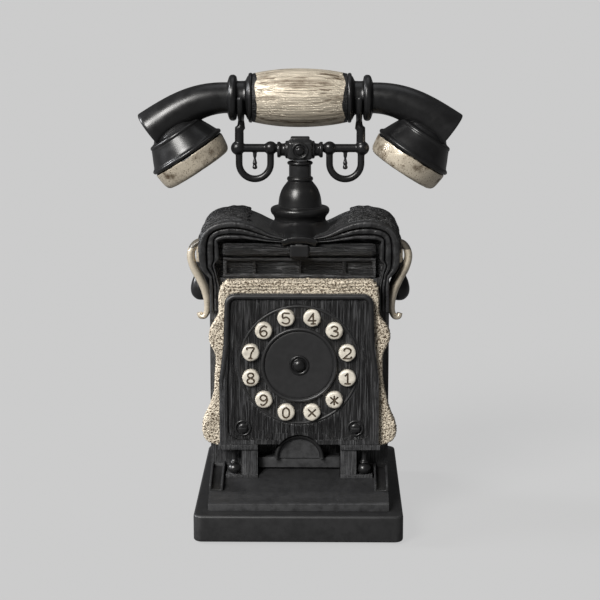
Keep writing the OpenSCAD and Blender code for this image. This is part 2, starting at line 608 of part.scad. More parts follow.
module cap() at_cup() difference() {
    lathe([[0, -27.9], [21.5, -27.9], [23.2, -26.4], [23.6, -16.8], [26.6, -16.8], [26.8, -19], [26.2, -25],
        [25.2, -28.6], [23.2, -30.5], [0, -30.5]], 64);
    for (i = [0 : 5]) rotate([0, 0, 60 * i]) translate([8, 0, -40]) cylinder(r = 1.5, h = 20, $fn = 24);
    translate([0, 0, -40]) cylinder(r = 1.5, h = 20, $fn = 24);
}

module receiver_cup() color(BLACK) mirror([1, 0, 0]) cup();

module receiver_cap() color(SILVER) mirror([1, 0, 0]) cap();

module transmitter_cup() color(BLACK) cup();

module transmitter_cap() color(SILVER) cap();

module handset_capsules() color(STEEL) sides() at_cup()
    lathe([[0, -16], [12, -16], [20.4, -19], [20.4, -27.8], [0, -27.8]], 48);

base_slab();
base_platform();
side_rails();
bottom_plate();
rubber_feet();
ballast_weight();
body_shell();
hood_shell();
hood_caps();
hood_frame();
hood_roll();
hood_clasp();
slat_rail();
surround_trim();
front_panel();
panel_screws();
ringer_arch();
legs();
leg_spindles();
side_straps();
side_hooks();
back_cover();
case_screws();
dial_ring();
dial_disc();
dial_hub();
key_guide();
keypad_board();
main_board();
ringer_speaker();
hook_switch();
line_jack();
cord_jack();
ringer_switch();
stem();
cradle_post();
cradle_hub();
cradle_arm_left();
cradle_arm_right();
handset_grip();
handset_ferrules();
handset_arm_left();
handset_arm_right();
receiver_cup();
receiver_cap();
transmitter_cup();
transmitter_cap();
handset_capsules();
key(0);  // key_1
key(1);  // key_2
key(2);  // key_3
key(3);  // key_4
key(4);  // key_5
key(5);  // key_6
key(6);  // key_7
key(7);  // key_8
key(8);  // key_9
key(9);  // key_0
key(10);  // key_hash
key(11);  // key_star
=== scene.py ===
"""Cradle telephone with a ring of push keys: the pieces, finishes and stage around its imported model."""

import math

import bmesh
import bpy
from mathutils import Matrix, Vector, noise


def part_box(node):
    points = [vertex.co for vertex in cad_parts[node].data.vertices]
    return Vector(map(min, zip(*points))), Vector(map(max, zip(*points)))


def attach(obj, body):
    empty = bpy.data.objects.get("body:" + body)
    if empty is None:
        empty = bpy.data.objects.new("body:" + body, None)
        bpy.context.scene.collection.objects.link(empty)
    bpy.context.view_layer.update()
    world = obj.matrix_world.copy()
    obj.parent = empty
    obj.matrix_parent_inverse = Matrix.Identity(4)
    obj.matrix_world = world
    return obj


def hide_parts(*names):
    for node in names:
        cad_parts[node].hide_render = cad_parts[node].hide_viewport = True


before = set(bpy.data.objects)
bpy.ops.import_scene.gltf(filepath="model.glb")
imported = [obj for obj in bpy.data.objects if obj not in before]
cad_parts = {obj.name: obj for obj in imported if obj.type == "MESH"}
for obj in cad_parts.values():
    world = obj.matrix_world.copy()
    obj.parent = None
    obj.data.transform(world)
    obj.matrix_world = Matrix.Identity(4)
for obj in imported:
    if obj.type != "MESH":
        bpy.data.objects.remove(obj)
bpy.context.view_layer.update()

bl_info = {
    "name": "Cradle telephone",
    "version": (1, 0, 0),
    "blender": (4, 5, 0),
    "location": "View3D > Sidebar > Telephone",
    "description": "Builds the pieces and finishes of an antique-style cradle telephone",
    "category": "Object",
}

MM = 0.001
SIDES = (("left", -1), ("right", 1))
KEYS = ("1", "2", "3", "4", "5", "6", "7", "8", "9", "0", "hash", "star")
KEY_STEP = math.radians(30)
FIRST_KEY = math.radians(-15)


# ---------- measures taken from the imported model, in millimetres ----------

def span(node):
    """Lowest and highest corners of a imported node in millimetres."""
    low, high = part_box(node)
    return low / MM, high / MM


def middle(node):
    """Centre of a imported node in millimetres."""
    low, high = span(node)
    return (low + high) / 2


DIAL = middle("dial_ring")
HANDSET_Z = middle("handset_grip").z
GRIP_R = (span("handset_grip")[1].z - span("handset_grip")[0].z) / 2
GRIP_X = span("handset_grip")[1].x
HOOD_FRONT = span("hood_frame")[0].y
PANEL_LOW, PANEL_HIGH = span("front_panel")

# The heights between which the panel draws in from its wide foot
FLARE = (104.0, 128.0)

# The cross bar runs through the middle of the hub, without the cap on its top
HUB_CAP = 2.3
BAR_Z = (span("cradle_hub")[0].z + span("cradle_hub")[1].z - HUB_CAP) / 2

# Where the right-hand cup starts on its arm, and how far it leans
CUP_LIP = Vector((86.6, 0.0, 267.3))
CUP_TILT = math.radians(33)

# The circle that the keys' middles lie on
KEY_CIRCLE = 34.0

# How much of the floor's tone comes from the lights, how much is its own glow to the camera, and how much
# of that glow falls on the telephone
FLOOR_DIFFUSE = 0.10
FLOOR_GLOW = 0.88
FLOOR_FILL = 0.20

# How bright the room is to the telephone; to the camera it is as pale as the floor
ROOM_FILL = 0.11

# Where the camera stands, and how far it looks down and to the left
CAMERA_AT = Vector((18.2, -1305.4, 403.7))
CAMERA_DOWN = math.radians(11)
CAMERA_TURN = math.radians(0.8)

# Each light's name, the direction that it comes from, its spread in degrees, its power and its colour
SUNS = (("key light", (-0.50, -0.74, 0.66), 24, 3.7, (1.0, 0.985, 0.96)),
        ("left light", (-0.95, 0.1, 0.42), 18, 2.8, (0.97, 0.98, 1.0)),
        ("top light", (0.1, 0.25, 1.0), 40, 0.25, (0.95, 0.97, 1.0)))

# The hood's half outline from its foot over the shoulder to the saddle: x, z, and the share of an inset
# that is taken there
HOOD_LINE = ((61.5, 171.5, 0.5), (66.4, 176.6, 0.8), (68.7, 183, 1), (68.9, 191, 1), (67.9, 198.4, 0.95),
             (64.6, 204.7, 0.85), (58.4, 209.2, 0.85), (50, 211.5, 0.9), (42, 211.5, 0.9), (34.6, 209.7, 0.8),
             (27, 206.4, 0.65), (19, 202.2, 0.38), (8, 199.6, 0.2), (0, 199.6, 0.2))


# ---------- settings that a user would change ----------

class PhoneFinish(bpy.types.PropertyGroup):
    """Colours of the telephone's finishes."""

    black: bpy.props.FloatVectorProperty(
        name="Black lacquer", description="Colour of the cast black parts", subtype="COLOR", size=3,
        min=0, max=1, default=(0.0095, 0.0095, 0.0100))
    rubbed: bpy.props.FloatVectorProperty(
        name="Rubbed edges", description="Grey that is dry-brushed on edges and grain", subtype="COLOR",
        size=3, min=0, max=1, default=(0.150, 0.152, 0.158))
    silver: bpy.props.FloatVectorProperty(
        name="Champagne silver", description="Colour of the silver paint", subtype="COLOR", size=3,
        min=0, max=1, default=(0.76, 0.675, 0.54))
    tarnish: bpy.props.FloatVectorProperty(
        name="Tarnish", description="Brown that settles in the silver's hollows", subtype="COLOR", size=3,
        min=0, max=1, default=(0.115, 0.078, 0.045))
    key_face: bpy.props.FloatVectorProperty(
        name="Key face", description="Cream silver of the keys", subtype="COLOR", size=3,
        min=0, max=1, default=(0.80, 0.75, 0.65))
    stage_grey: bpy.props.FloatVectorProperty(
        name="Stage", description="Colour of the floor", subtype="COLOR", size=3,
        min=0, max=1, default=(0.604, 0.604, 0.604))


class PhoneShape(bpy.types.PropertyGroup):
    """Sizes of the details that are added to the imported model."""

    edge: bpy.props.FloatProperty(
        name="Edge radius", description="Rounding of the cast parts' edges", unit="LENGTH",
        default=0.0006, min=0.0002, max=0.0015)
    knit_relief: bpy.props.FloatProperty(
        name="Knit relief", description="Depth of the knobbly cloth surface", unit="LENGTH",
        default=0.0006, min=0.0001, max=0.0012)
    grain_relief: bpy.props.FloatProperty(
        name="Grain relief", description="Depth of the carved wood grain", unit="LENGTH",
        default=0.0004, min=0.0001, max=0.001)
    numeral_width: bpy.props.FloatProperty(
        name="Numeral stroke", description="Width of the numerals cut in the keys", unit="LENGTH",
        default=0.0013, min=0.0005, max=0.0016)
    lens: bpy.props.FloatProperty(
        name="Lens", description="Focal length of the camera", unit="CAMERA", default=113.6, min=50, max=200)


def finish_settings():
    """The colours set in the sidebar."""
    return bpy.context.scene.phone_finish


def shape_settings():
    """The detail sizes set in the sidebar."""
    return bpy.context.scene.phone_shape


# ---------- node helpers ----------

def feed(tree, socket, value):
    """Links a socket to another node's output, or fills it with a colour, a vector or a number."""
    if isinstance(value, bpy.types.NodeSocket):
        tree.links.new(value, socket)
    elif socket.type == "RGBA" and len(value) == 3:
        socket.default_value = (*value, 1.0)
    else:
        socket.default_value = value


def add(tree, kind, inputs=None, **settings):
    """Adds a shader node, sets it up and feeds its inputs."""
    made = tree.nodes.new(kind)
    for key, value in settings.items():
        setattr(made, key, value)
    for key, value in (inputs or {}).items():
        feed(tree, made.inputs[key], value)
    return made


def maths(tree, kind, first, second=0.0, clamp=False):
    """One Math node."""
    return add(tree, "ShaderNodeMath", {0: first, 1: second}, operation=kind, use_clamp=clamp).outputs[0]


def plus(tree, first, second, clamp=False):
    """The sum of two values."""
    return maths(tree, "ADD", first, second, clamp)


def minus(tree, first, second):
    """The first value less the second."""
    return maths(tree, "SUBTRACT", first, second)


def times(tree, first, second, clamp=False):
    """The product of two values."""
    return maths(tree, "MULTIPLY", first, second, clamp)


def clouds(tree, vector, scale, detail, rough=0.5, bend=0.0):
    """The grey value of a noise texture."""
    return add(tree, "ShaderNodeTexNoise", {
        "Vector": vector, "Scale": scale, "Detail": detail, "Roughness": rough, "Distortion": bend,
    }).outputs["Fac"]


def stretch(tree, value, low, high, to_low=0.0, to_high=1.0):
    """A smooth step from one range of values to another."""
    return add(tree, "ShaderNodeMapRange", {
        "Value": value, "From Min": low, "From Max": high, "To Min": to_low, "To Max": to_high,
    }, interpolation_type="SMOOTHSTEP").outputs["Result"]


def blend_colour(tree, factor, first, second):
    """Mixes two colours by a mask."""
    return add(tree, "ShaderNodeMix", {0: factor, 6: first, 7: second}, data_type="RGBA").outputs[2]


def pointiness(tree):
    """How far each place is a ridge (over 0.5) or a hollow (under 0.5)."""
    return add(tree, "ShaderNodeNewGeometry").outputs["Pointiness"]


# ---------- node groups ----------

def new_group(name, inputs, outputs):
    """Starts a node group with named sockets, and gives its tree, its input node and its output node."""
    tree = bpy.data.node_groups.new(name, "ShaderNodeTree")
    for label, kind in inputs.items():
        tree.interface.new_socket(label, in_out="INPUT", socket_type="NodeSocket" + kind)
    for label in outputs:
        tree.interface.new_socket(label, in_out="OUTPUT", socket_type="NodeSocketFloat")
    return tree, tree.nodes.new("NodeGroupInput"), tree.nodes.new("NodeGroupOutput")


def use_group(tree, name, inputs):
    """Places a node group, building it the first time."""
    group = bpy.data.node_groups.get(name) or GROUPS[name](name)
    return add(tree, "ShaderNodeGroup", inputs, node_tree=group).outputs


def wood_grain(name):
    """Long streaks: Stretch says how fine the grain is along each axis."""
    tree, start, end = new_group(name, {"Vector": "Vector", "Stretch": "Vector"}, ["Height", "Lines"])
    drawn = add(tree, "ShaderNodeVectorMath", {0: start.outputs["Vector"], 1: start.outputs["Stretch"]},
                operation="MULTIPLY").outputs[0]
    fine = clouds(tree, drawn, 1.0, 4.0, 0.55, 0.1)
    broad = clouds(tree, drawn, 0.35, 2.0, 0.5, 0.15)
    streaks = stretch(tree, fine, 0.36, 0.60)
    waves = stretch(tree, broad, 0.35, 0.65)
    feed(tree, end.inputs["Height"], plus(tree, times(tree, streaks, 0.65), times(tree, waves, 0.35)))
    feed(tree, end.inputs["Lines"], stretch(tree, fine, 0.47, 0.64))
    return tree


def cast_surface(name):
    """Slight waves and pits of a cast and painted surface."""
    tree, start, end = new_group(name, {"Vector": "Vector", "Scale": "Float"}, ["Height", "Mottle"])
    vector, scale = start.outputs["Vector"], start.outputs["Scale"]
    broad = clouds(tree, vector, scale, 3.0, 0.55)
    fine = clouds(tree, vector, times(tree, scale, 9.0), 2.0)
    feed(tree, end.inputs["Height"], plus(tree, times(tree, broad, 0.8), times(tree, fine, 0.2)))
    feed(tree, end.inputs["Mottle"], stretch(tree, broad, 0.3, 0.7))
    return tree


def edge_rub(name):
    """Where handling has rubbed the paint: high on raised edges, broken up by noise."""
    tree, start, end = new_group(name, {"Vector": "Vector", "Pointiness": "Float"}, ["Mask"])
    patch = clouds(tree, start.outputs["Vector"], 220.0, 4.0, 0.7)
    raised = add(tree, "ShaderNodeMapRange", {
        "Value": start.outputs["Pointiness"], "From Min": 0.51, "From Max": 0.58}).outputs["Result"]
    broken = stretch(tree, patch, 0.30, 0.62, 0.35, 1.0)
    feed(tree, end.inputs["Mask"], times(tree, raised, broken, clamp=True))
    return tree


def stain(name):
    """Blotches and specks of tarnish."""
    tree, start, end = new_group(name, {"Vector": "Vector", "Specks": "Float", "Blotches": "Float"}, ["Mask"])
    broad = clouds(tree, start.outputs["Vector"], 90.0, 6.0, 0.62)
    fine = clouds(tree, start.outputs["Vector"], 1100.0, 3.0, 0.6)
    blotch = times(tree, stretch(tree, broad, 0.47, 0.72), start.outputs["Blotches"])
    speck = times(tree, stretch(tree, fine, 0.56, 0.70), start.outputs["Specks"])
    feed(tree, end.inputs["Mask"], plus(tree, blotch, speck, clamp=True))
    return tree


GROUPS = {"Wood grain": wood_grain, "Cast surface": cast_surface, "Edge rub": edge_rub, "Tarnish": stain}


def worn_edges(tree, place):
    """The mask of rubbed edges for a whole material."""
    return use_group(tree, "Edge rub", {"Vector": place, "Pointiness": pointiness(tree)})["Mask"]


def cast_at(tree, place, scale):
    """The cast surface's Height and Mottle at a scale."""
    return use_group(tree, "Cast surface", {"Vector": place, "Scale": scale})


def grain_at(tree, place, stretch_by):
    """The wood grain's Height and Lines, stretched along the axes."""
    return use_group(tree, "Wood grain", {"Vector": place, "Stretch": stretch_by})


def tarnish_at(tree, place, specks, blotches):
    """The mask of tarnish."""
    return use_group(tree, "Tarnish", {"Vector": place, "Specks": specks, "Blotches": blotches})["Mask"]


# ---------- finishes ----------

def start_material(name):
    """An empty node material with its object coordinates."""
    material = bpy.data.materials.new(name)
    material.use_nodes = True
    tree = material.node_tree
    tree.nodes.clear()
    place = add(tree, "ShaderNodeTexCoord").outputs["Object"]
    return material, tree, place


def end_material(tree, colour, roughness, height, depth, metallic=0.0):
    """The surface shader with its relief, and the output."""
    bump = add(tree, "ShaderNodeBump", {"Strength": 1.0, "Distance": depth, "Height": height})
    shader = add(tree, "ShaderNodeBsdfPrincipled", {
        "Base Color": colour, "Roughness": roughness, "Metallic": metallic, "Normal": bump.outputs[0]})
    add(tree, "ShaderNodeOutputMaterial", {"Surface": shader.outputs[0]})


def black_plain(name, gloss, rub):
    """Satin black paint with slightly rubbed edges."""
    look = finish_settings()
    material, tree, place = start_material(name)
    cast = cast_at(tree, place, 140.0)
    shade = blend_colour(tree, times(tree, cast["Mottle"], 0.02), look.black, look.rubbed)
    colour = blend_colour(tree, times(tree, worn_edges(tree, place), rub), shade, look.rubbed)
    rough = stretch(tree, cast["Mottle"], 0.0, 1.0, gloss - 0.02, gloss + 0.04)
    end_material(tree, colour, rough, cast["Height"], 0.00006)
    return material


def black_carved(name, stretch_by, lift, depth=0.0006):
    """Black paint over carved wood grain, dry-brushed with grey on the high lines."""
    look = finish_settings()
    material, tree, place = start_material(name)
    grain = grain_at(tree, place, stretch_by)
    rubbed = plus(tree, times(tree, grain["Lines"], lift), times(tree, worn_edges(tree, place), 0.35),
                  clamp=True)
    colour = blend_colour(tree, rubbed, look.black, look.rubbed)
    end_material(tree, colour, 0.42, grain["Height"], depth)
    return material


def paint_edge(tree, place, along, start, wander):
    """Where black paint laps over silver: past start along a direction, with a torn edge."""
    ragged = clouds(tree, place, 75.0, 3.0)
    shift = times(tree, minus(tree, ragged, 0.5), wander)
    return stretch(tree, plus(tree, along, shift), start, start + 0.0002)


def silver_cast(name, specks, blotches, metal, streak=None, lap=None, rough=0.34):
    """Champagne silver paint with brown tarnish, streaked and lapped with black where asked."""
    look = finish_settings()
    material, tree, place = start_material(name)
    height = cast_at(tree, place, 220.0)["Height"]
    hollow = stretch(tree, pointiness(tree), 0.50, 0.44)
    mask = plus(tree, tarnish_at(tree, place, specks, blotches), times(tree, hollow, 0.8), clamp=True)
    if streak is not None:
        grain = grain_at(tree, place, streak)["Height"]
        bands = grain_at(tree, place, tuple(c * 0.22 for c in streak))["Height"]
        dark = plus(tree, stretch(tree, grain, 0.42, 0.04),
                    times(tree, stretch(tree, bands, 0.70, 0.1), 0.75))
        mask = plus(tree, times(tree, mask, 0.7), times(tree, dark, 0.8), clamp=True)
        height = plus(tree, height, times(tree, grain, 2.0))
    colour = blend_colour(tree, mask, look.silver, look.tarnish)
    shine = stretch(tree, mask, 0.0, 1.0, rough, rough + 0.25)
    if lap is not None:
        edge = lap(tree, place)
        colour = blend_colour(tree, edge, colour, look.black)
        metal = stretch(tree, edge, 0.0, 1.0, metal, 0.0)
    end_material(tree, colour, shine, height, 0.00018, metal)
    return material


def grip_lap(tree, place):
    """Black laps over both ends of the grip."""
    x = add(tree, "ShaderNodeSeparateXYZ", {0: place}).outputs["X"]
    return paint_edge(tree, place, maths(tree, "ABSOLUTE", x), (GRIP_X - 2.6) * MM, 0.006)


def strap_lap(tree, place):
    """Black laps over the plates that the straps hang from."""
    z = add(tree, "ShaderNodeSeparateXYZ", {0: place}).outputs["Z"]
    return times(tree, paint_edge(tree, place, z, 0.190, 0.014), 0.85)


def cap_lap(tree, place):
    """Black laps over the rim of each cap where it meets its cup."""
    split = add(tree, "ShaderNodeSeparateXYZ", {0: place}).outputs
    out = minus(tree, maths(tree, "ABSOLUTE", split["X"]), CUP_LIP.x * MM)
    up = minus(tree, split["Z"], CUP_LIP.z * MM)
    along = plus(tree, times(tree, out, math.sin(CUP_TILT)), times(tree, up, math.cos(CUP_TILT)))
    return paint_edge(tree, place, along, -0.0176, 0.0048)


def silver_knit(name):
    """Silver paint over knobbly cloth: brown in the pits, bright on the knobs."""
    look = finish_settings()
    material, tree, place = start_material(name)
    knobs = clouds(tree, place, 820.0, 2.0, 0.6)
    pits = stretch(tree, knobs, 0.50, 0.40)
    broad = times(tree, tarnish_at(tree, place, 0.2, 0.55), 0.3)
    hollow = times(tree, stretch(tree, pointiness(tree), 0.50, 0.42), 0.6)
    brown = plus(tree, pits, plus(tree, broad, hollow), clamp=True)
    colour = blend_colour(tree, brown, look.silver, look.tarnish)
    end_material(tree, colour, 0.5, knobs, 0.0012, 0.2)
    return material


def key_cream(name):
    """Cream-silver key caps, slightly stained."""
    look = finish_settings()
    material, tree, place = start_material(name)
    hollow = times(tree, stretch(tree, pointiness(tree), 0.49, 0.40), 0.6)
    brown = plus(tree, tarnish_at(tree, place, 0.3, 0.25), hollow, clamp=True)
    colour = blend_colour(tree, brown, look.key_face, look.tarnish)
    end_material(tree, colour, 0.42, cast_at(tree, place, 300.0)["Height"], 0.00015, 0.12)
    return material


def plain(colour, roughness, metallic=0.0, depth=0.00008):
    """Makes a builder for a simple worked finish: one colour, mottled and slightly uneven."""
    def build(name):
        material, tree, place = start_material(name)
        cast = cast_at(tree, place, 260.0)
        darker = tuple(c * 0.7 for c in colour)
        shade = blend_colour(tree, times(tree, cast["Mottle"], 0.6), colour, darker)
        end_material(tree, shade, roughness, cast["Height"], depth, metallic)
        return material
    return build


# How fine the grain is along x, y and z
UPRIGHT = (1050, 1050, 42)
LEVEL = (42, 1050, 1050)
BARK = (130, 900, 400)
RIBS = (170, 170, 170)
BRUSHED = (16, 1000, 1000)

FINISHES = {
    "black cast": lambda n: black_plain(n, 0.46, 0.30),
    "black smooth": lambda n: black_plain(n, 0.30, 0.12),
    "black metal": lambda n: black_plain(n, 0.29, 0.3),
    "black upright grain": lambda n: black_carved(n, UPRIGHT, 0.2),
    "black level grain": lambda n: black_carved(n, LEVEL, 0.08, 0.0009),
    "black panel": lambda n: black_carved(n, UPRIGHT, 0.34, 0.0007),
    "black dial": plain((0.026, 0.026, 0.027), 0.42),
    "black ribbed": lambda n: black_carved(n, RIBS, 0.12, 0.0004),
    "black bark": lambda n: black_carved(n, BARK, 0.24, 0.0011),
    "silver grip": lambda n: silver_cast(n, 0.3, 0.35, 0.42, streak=BRUSHED, lap=grip_lap),
    "silver cap": lambda n: silver_cast(n, 1.0, 1.0, 0.45, lap=cap_lap),
    "silver cast": lambda n: silver_cast(n, 0.45, 0.6, 0.5),
    "silver strap": lambda n: silver_cast(n, 0.4, 0.5, 0.4, lap=strap_lap, rough=0.3),
    "silver knit": silver_knit,
    "key cream": key_cream,
    "numeral brown": plain((0.085, 0.06, 0.035), 0.6),
    "bare steel": plain((0.55, 0.56, 0.58), 0.35, metallic=1.0),
    "cast iron": plain((0.12, 0.12, 0.125), 0.7, metallic=0.6, depth=0.0004),
    "foot rubber": plain((0.014, 0.014, 0.014), 0.85),
    "circuit board": plain((0.02, 0.13, 0.05), 0.4),
    "inner plastic": plain((0.03, 0.03, 0.032), 0.55),
    "socket ivory": plain((0.55, 0.52, 0.45), 0.45),
}


def finish(name):
    """The named material, built the first time that it is asked for."""
    return bpy.data.materials.get(name) or FINISHES[name](name)


# ---------- mesh helpers: shapes are drawn in millimetres ----------

def settle(name, bm, body, slot, *finishes, node=None, smooth=40.0):
    """Turns a bmesh drawn in millimetres into a finished piece that rides on a body."""
    bmesh.ops.remove_doubles(bm, verts=bm.verts, dist=0.002)
    bmesh.ops.scale(bm, vec=(MM, MM, MM), verts=bm.verts)
    mesh = bpy.data.meshes.new(name)
    bm.to_mesh(mesh)
    bm.free()
    return place(name, mesh, body, slot, *finishes, node=node, smooth=smooth)


def place(name, mesh, body, slot, *finishes, node=None, smooth=40.0):
    """Adds a mesh to the scene as a piece: its finishes, its body and the node it stands for; the slot is not
    used.
    """
    piece = bpy.data.objects.new(name, mesh)
    bpy.context.scene.collection.objects.link(piece)
    for label in finishes:
        mesh.materials.append(finish(label))
    mesh.shade_smooth()
    mesh.set_sharp_from_angle(angle=math.radians(smooth))
    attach(piece, body)
    if node:
        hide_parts(*([node] if isinstance(node, str) else node))
    return piece


def outward(bm):
    """Joins doubled points and turns every face outwards."""
    bmesh.ops.remove_doubles(bm, verts=bm.verts, dist=0.002)
    bmesh.ops.recalc_face_normals(bm, faces=bm.faces)
    return bm


def copy_of(node):
    """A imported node's shape as a clean bmesh in millimetres."""
    bm = bmesh.new()
    bm.from_mesh(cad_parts[node].data)
    bmesh.ops.scale(bm, vec=(1 / MM, 1 / MM, 1 / MM), verts=bm.verts)
    bmesh.ops.remove_doubles(bm, verts=bm.verts, dist=0.004)
    bmesh.ops.dissolve_degenerate(bm, dist=0.003, edges=bm.edges)
    return bm


def eased(node, width=None, steps=3, limit=32.0):
    """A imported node's shape with its hard edges rounded."""
    width = shape_settings().edge / MM if width is None else width
    bm = copy_of(node)
    bmesh.ops.dissolve_limit(bm, angle_limit=math.radians(0.6), verts=bm.verts, edges=bm.edges)
    hard = [e for e in bm.edges if len(e.link_faces) == 2 and e.calc_face_angle(0) > math.radians(limit)]
    bmesh.ops.bevel(bm, geom=hard, offset=width, offset_type="OFFSET", affect="EDGES", segments=steps,
                    profile=0.5, material=-1, clamp_overlap=True)
    return bm


def flowing(points, steps=4):
    """Points of a smooth curve through given points; a doubled point keeps a corner."""
    ends = [Vector(p) for p in points]
    line = []
    for i in range(len(ends) - 1):
        a, b = ends[i], ends[i + 1]
        before = ends[max(i - 1, 0)]
        after = ends[min(i + 2, len(ends) - 1)]
        for s in range(steps):
            t = s / steps
            h = t * t * (3 - 2 * t)
            lean_a = (b - before) * 0.5 * (t - 2 * t * t + t ** 3)
            lean_b = (after - a) * 0.5 * (t ** 3 - t * t)
            line.append(a * (1 - h) + b * h + lean_a + lean_b)
    line.append(ends[-1])
    return [p for i, p in enumerate(line) if i == 0 or (p - line[i - 1]).length > 0.004]


def turned(profile, sides=64):
    """A closed lathe shape about +Z from (radius, height) points."""
    bm = bmesh.new()
    ring = [bm.verts.new((p[0], 0, p[1])) for p in profile]
    edges = [bm.edges.new((ring[i], ring[i + 1])) for i in range(len(ring) - 1)]
    bmesh.ops.spin(bm, geom=ring + edges, cent=(0, 0, 0), axis=(0, 0, 1), angle=math.tau, steps=sides,
                   use_merge=True, use_duplicate=False)
    return outward(bm)


def block(low, high, edge=0.5, steps=3):
    """A box with rounded edges."""
    bm = bmesh.new()
    bmesh.ops.create_cube(bm, size=1)
    low, high = Vector(low), Vector(high)
    bmesh.ops.scale(bm, vec=high - low, verts=bm.verts)
    bmesh.ops.translate(bm, vec=(low + high) / 2, verts=bm.verts)
    if edge:
        bmesh.ops.bevel(bm, geom=bm.edges[:], offset=edge, offset_type="OFFSET", affect="EDGES",
                        segments=steps, profile=0.5, material=-1, clamp_overlap=True)
    return bm


def mapped(columns, rows, where):
    """A sheet whose points a formula places from u and v, which both run from 0 to 1."""
    bm = bmesh.new()
    bmesh.ops.create_grid(bm, x_segments=columns, y_segments=rows, size=0.5)
    for v in bm.verts:
        v.co = where(v.co.x + 0.5, v.co.y + 0.5)
    return bm


def skin(columns, rows, where, thick):
    """A mapped sheet with a thickness."""
    bm = mapped(columns, rows, where)
    bmesh.ops.recalc_face_normals(bm, faces=bm.faces)
    bmesh.ops.solidify(bm, geom=bm.faces[:], thickness=thick)
    return outward(bm)


def swept(columns, rows, where):
    """A closed bar: u runs along it and v runs once round its section."""
    bm = mapped(columns, rows, where)
    bmesh.ops.remove_doubles(bm, verts=bm.verts, dist=0.003)
    bmesh.ops.holes_fill(bm, edges=bm.edges[:], sides=0)
    return outward(bm)


def along(line, t):
    """The point at a share of a list of points."""
    at = max(0.0, min(t, 1.0)) * (len(line) - 1)
    i = min(int(at), len(line) - 2)
    return line[i].lerp(line[i + 1], at - i)


def tube(path, radii, sides=24):
    """A closed tube along points; radii has one radius for each point."""
    bm = bmesh.new()
    points = [Vector(p) for p in path]
    rings = []
    for i, point in enumerate(points):
        ahead = points[min(i + 1, len(points) - 1)] - points[max(i - 1, 0)]
        turn = Vector((0, 0, 1)).rotation_difference(ahead.normalized()).to_matrix().to_4x4()
        made = bmesh.ops.create_circle(bm, cap_ends=False, segments=sides, radius=radii[i],
                                       matrix=Matrix.Translation(point) @ turn)
        rings.append(made["verts"])
    for a, b in zip(rings, rings[1:]):
        edges = [e for ring in (a, b) for e in {e for v in ring for e in v.link_edges}
                 if e.verts[0] in ring and e.verts[1] in ring]
        bmesh.ops.bridge_loops(bm, edges=edges)
    for ring in (rings[0], rings[-1]):
        bm.faces.new(ring)
    return outward(bm)


def joined(*parts):
    """Several bmeshes as one."""
    whole = bmesh.new()
    for part in parts:
        mesh = bpy.data.meshes.new("part")
        part.to_mesh(mesh)
        part.free()
        whole.from_mesh(mesh)
        bpy.data.meshes.remove(mesh)
    return whole


def mirrored(bm):
    """The same shape on the other side of the middle."""
    bmesh.ops.scale(bm, vec=(-1, 1, 1), verts=bm.verts)
    bmesh.ops.reverse_faces(bm, faces=bm.faces)
    return bm


def both_sides(make):
    """A right-hand shape and its mirror image."""
    return joined(make(), mirrored(make()))


def moved(bm, matrix):
    """The same shape after a transform."""
    bmesh.ops.transform(bm, matrix=matrix, verts=bm.verts)
    return bm


def smoothed(bm, verts, rounds):
    """Evens out some of a shape's points a number of times."""
    for _ in range(rounds):
        bmesh.ops.smooth_vert(bm, verts=verts, factor=0.5, use_axis_x=True, use_axis_y=True, use_axis_z=True)
    return bm


def cast_as_one(bm, voxel, rounds):
    """Melts overlapping shapes into one skin, as a casting blends them, and smooths it."""
    mesh = bpy.data.meshes.new("cast")
    bm.to_mesh(mesh)
    bm.free()
    holder = bpy.data.objects.new("cast", mesh)
    bpy.context.scene.collection.objects.link(holder)
    melt = holder.modifiers.new("melt", "REMESH")
    melt.mode = "VOXEL"
    melt.voxel_size = voxel
    shape = holder.evaluated_get(bpy.context.evaluated_depsgraph_get())
    result = bmesh.new()
    result.from_mesh(shape.to_mesh())
    shape.to_mesh_clear()
    bpy.data.objects.remove(holder)
    bpy.data.meshes.remove(mesh)
    return smoothed(result, result.verts, rounds)


def carve(bm, depth):
    """Moves each point along its normal by depth(point, normal)."""
    bm.normal_update()
    shifts = [(v, v.normal * depth(v.co, v.normal)) for v in bm.verts]
    for v, shift in shifts:
        v.co += shift
    return bm


def facing_x(bm, at):
    """Turns a lathe shape's axis from +Z to +X and moves it."""
    return moved(bm, Matrix.Translation(at) @ Matrix.Rotation(math.pi / 2, 4, "Y"))


def facing_front(bm, at=(0, 0, 0)):
    """Turns a lathe shape's axis from +Z to the front (-Y) and moves it."""
    return moved(bm, Matrix.Translation(at) @ Matrix.Rotation(math.pi / 2, 4, "X"))


def dressed(nodes, label):
    """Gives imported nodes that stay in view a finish."""
    for node in nodes:
        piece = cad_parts[node]
        piece.data.materials.clear()
        piece.data.materials.append(finish(label))


class PhoneOperator:
    """What every piece operator shares."""

    bl_options = {"REGISTER", "UNDO"}


# ---------- stage ----------

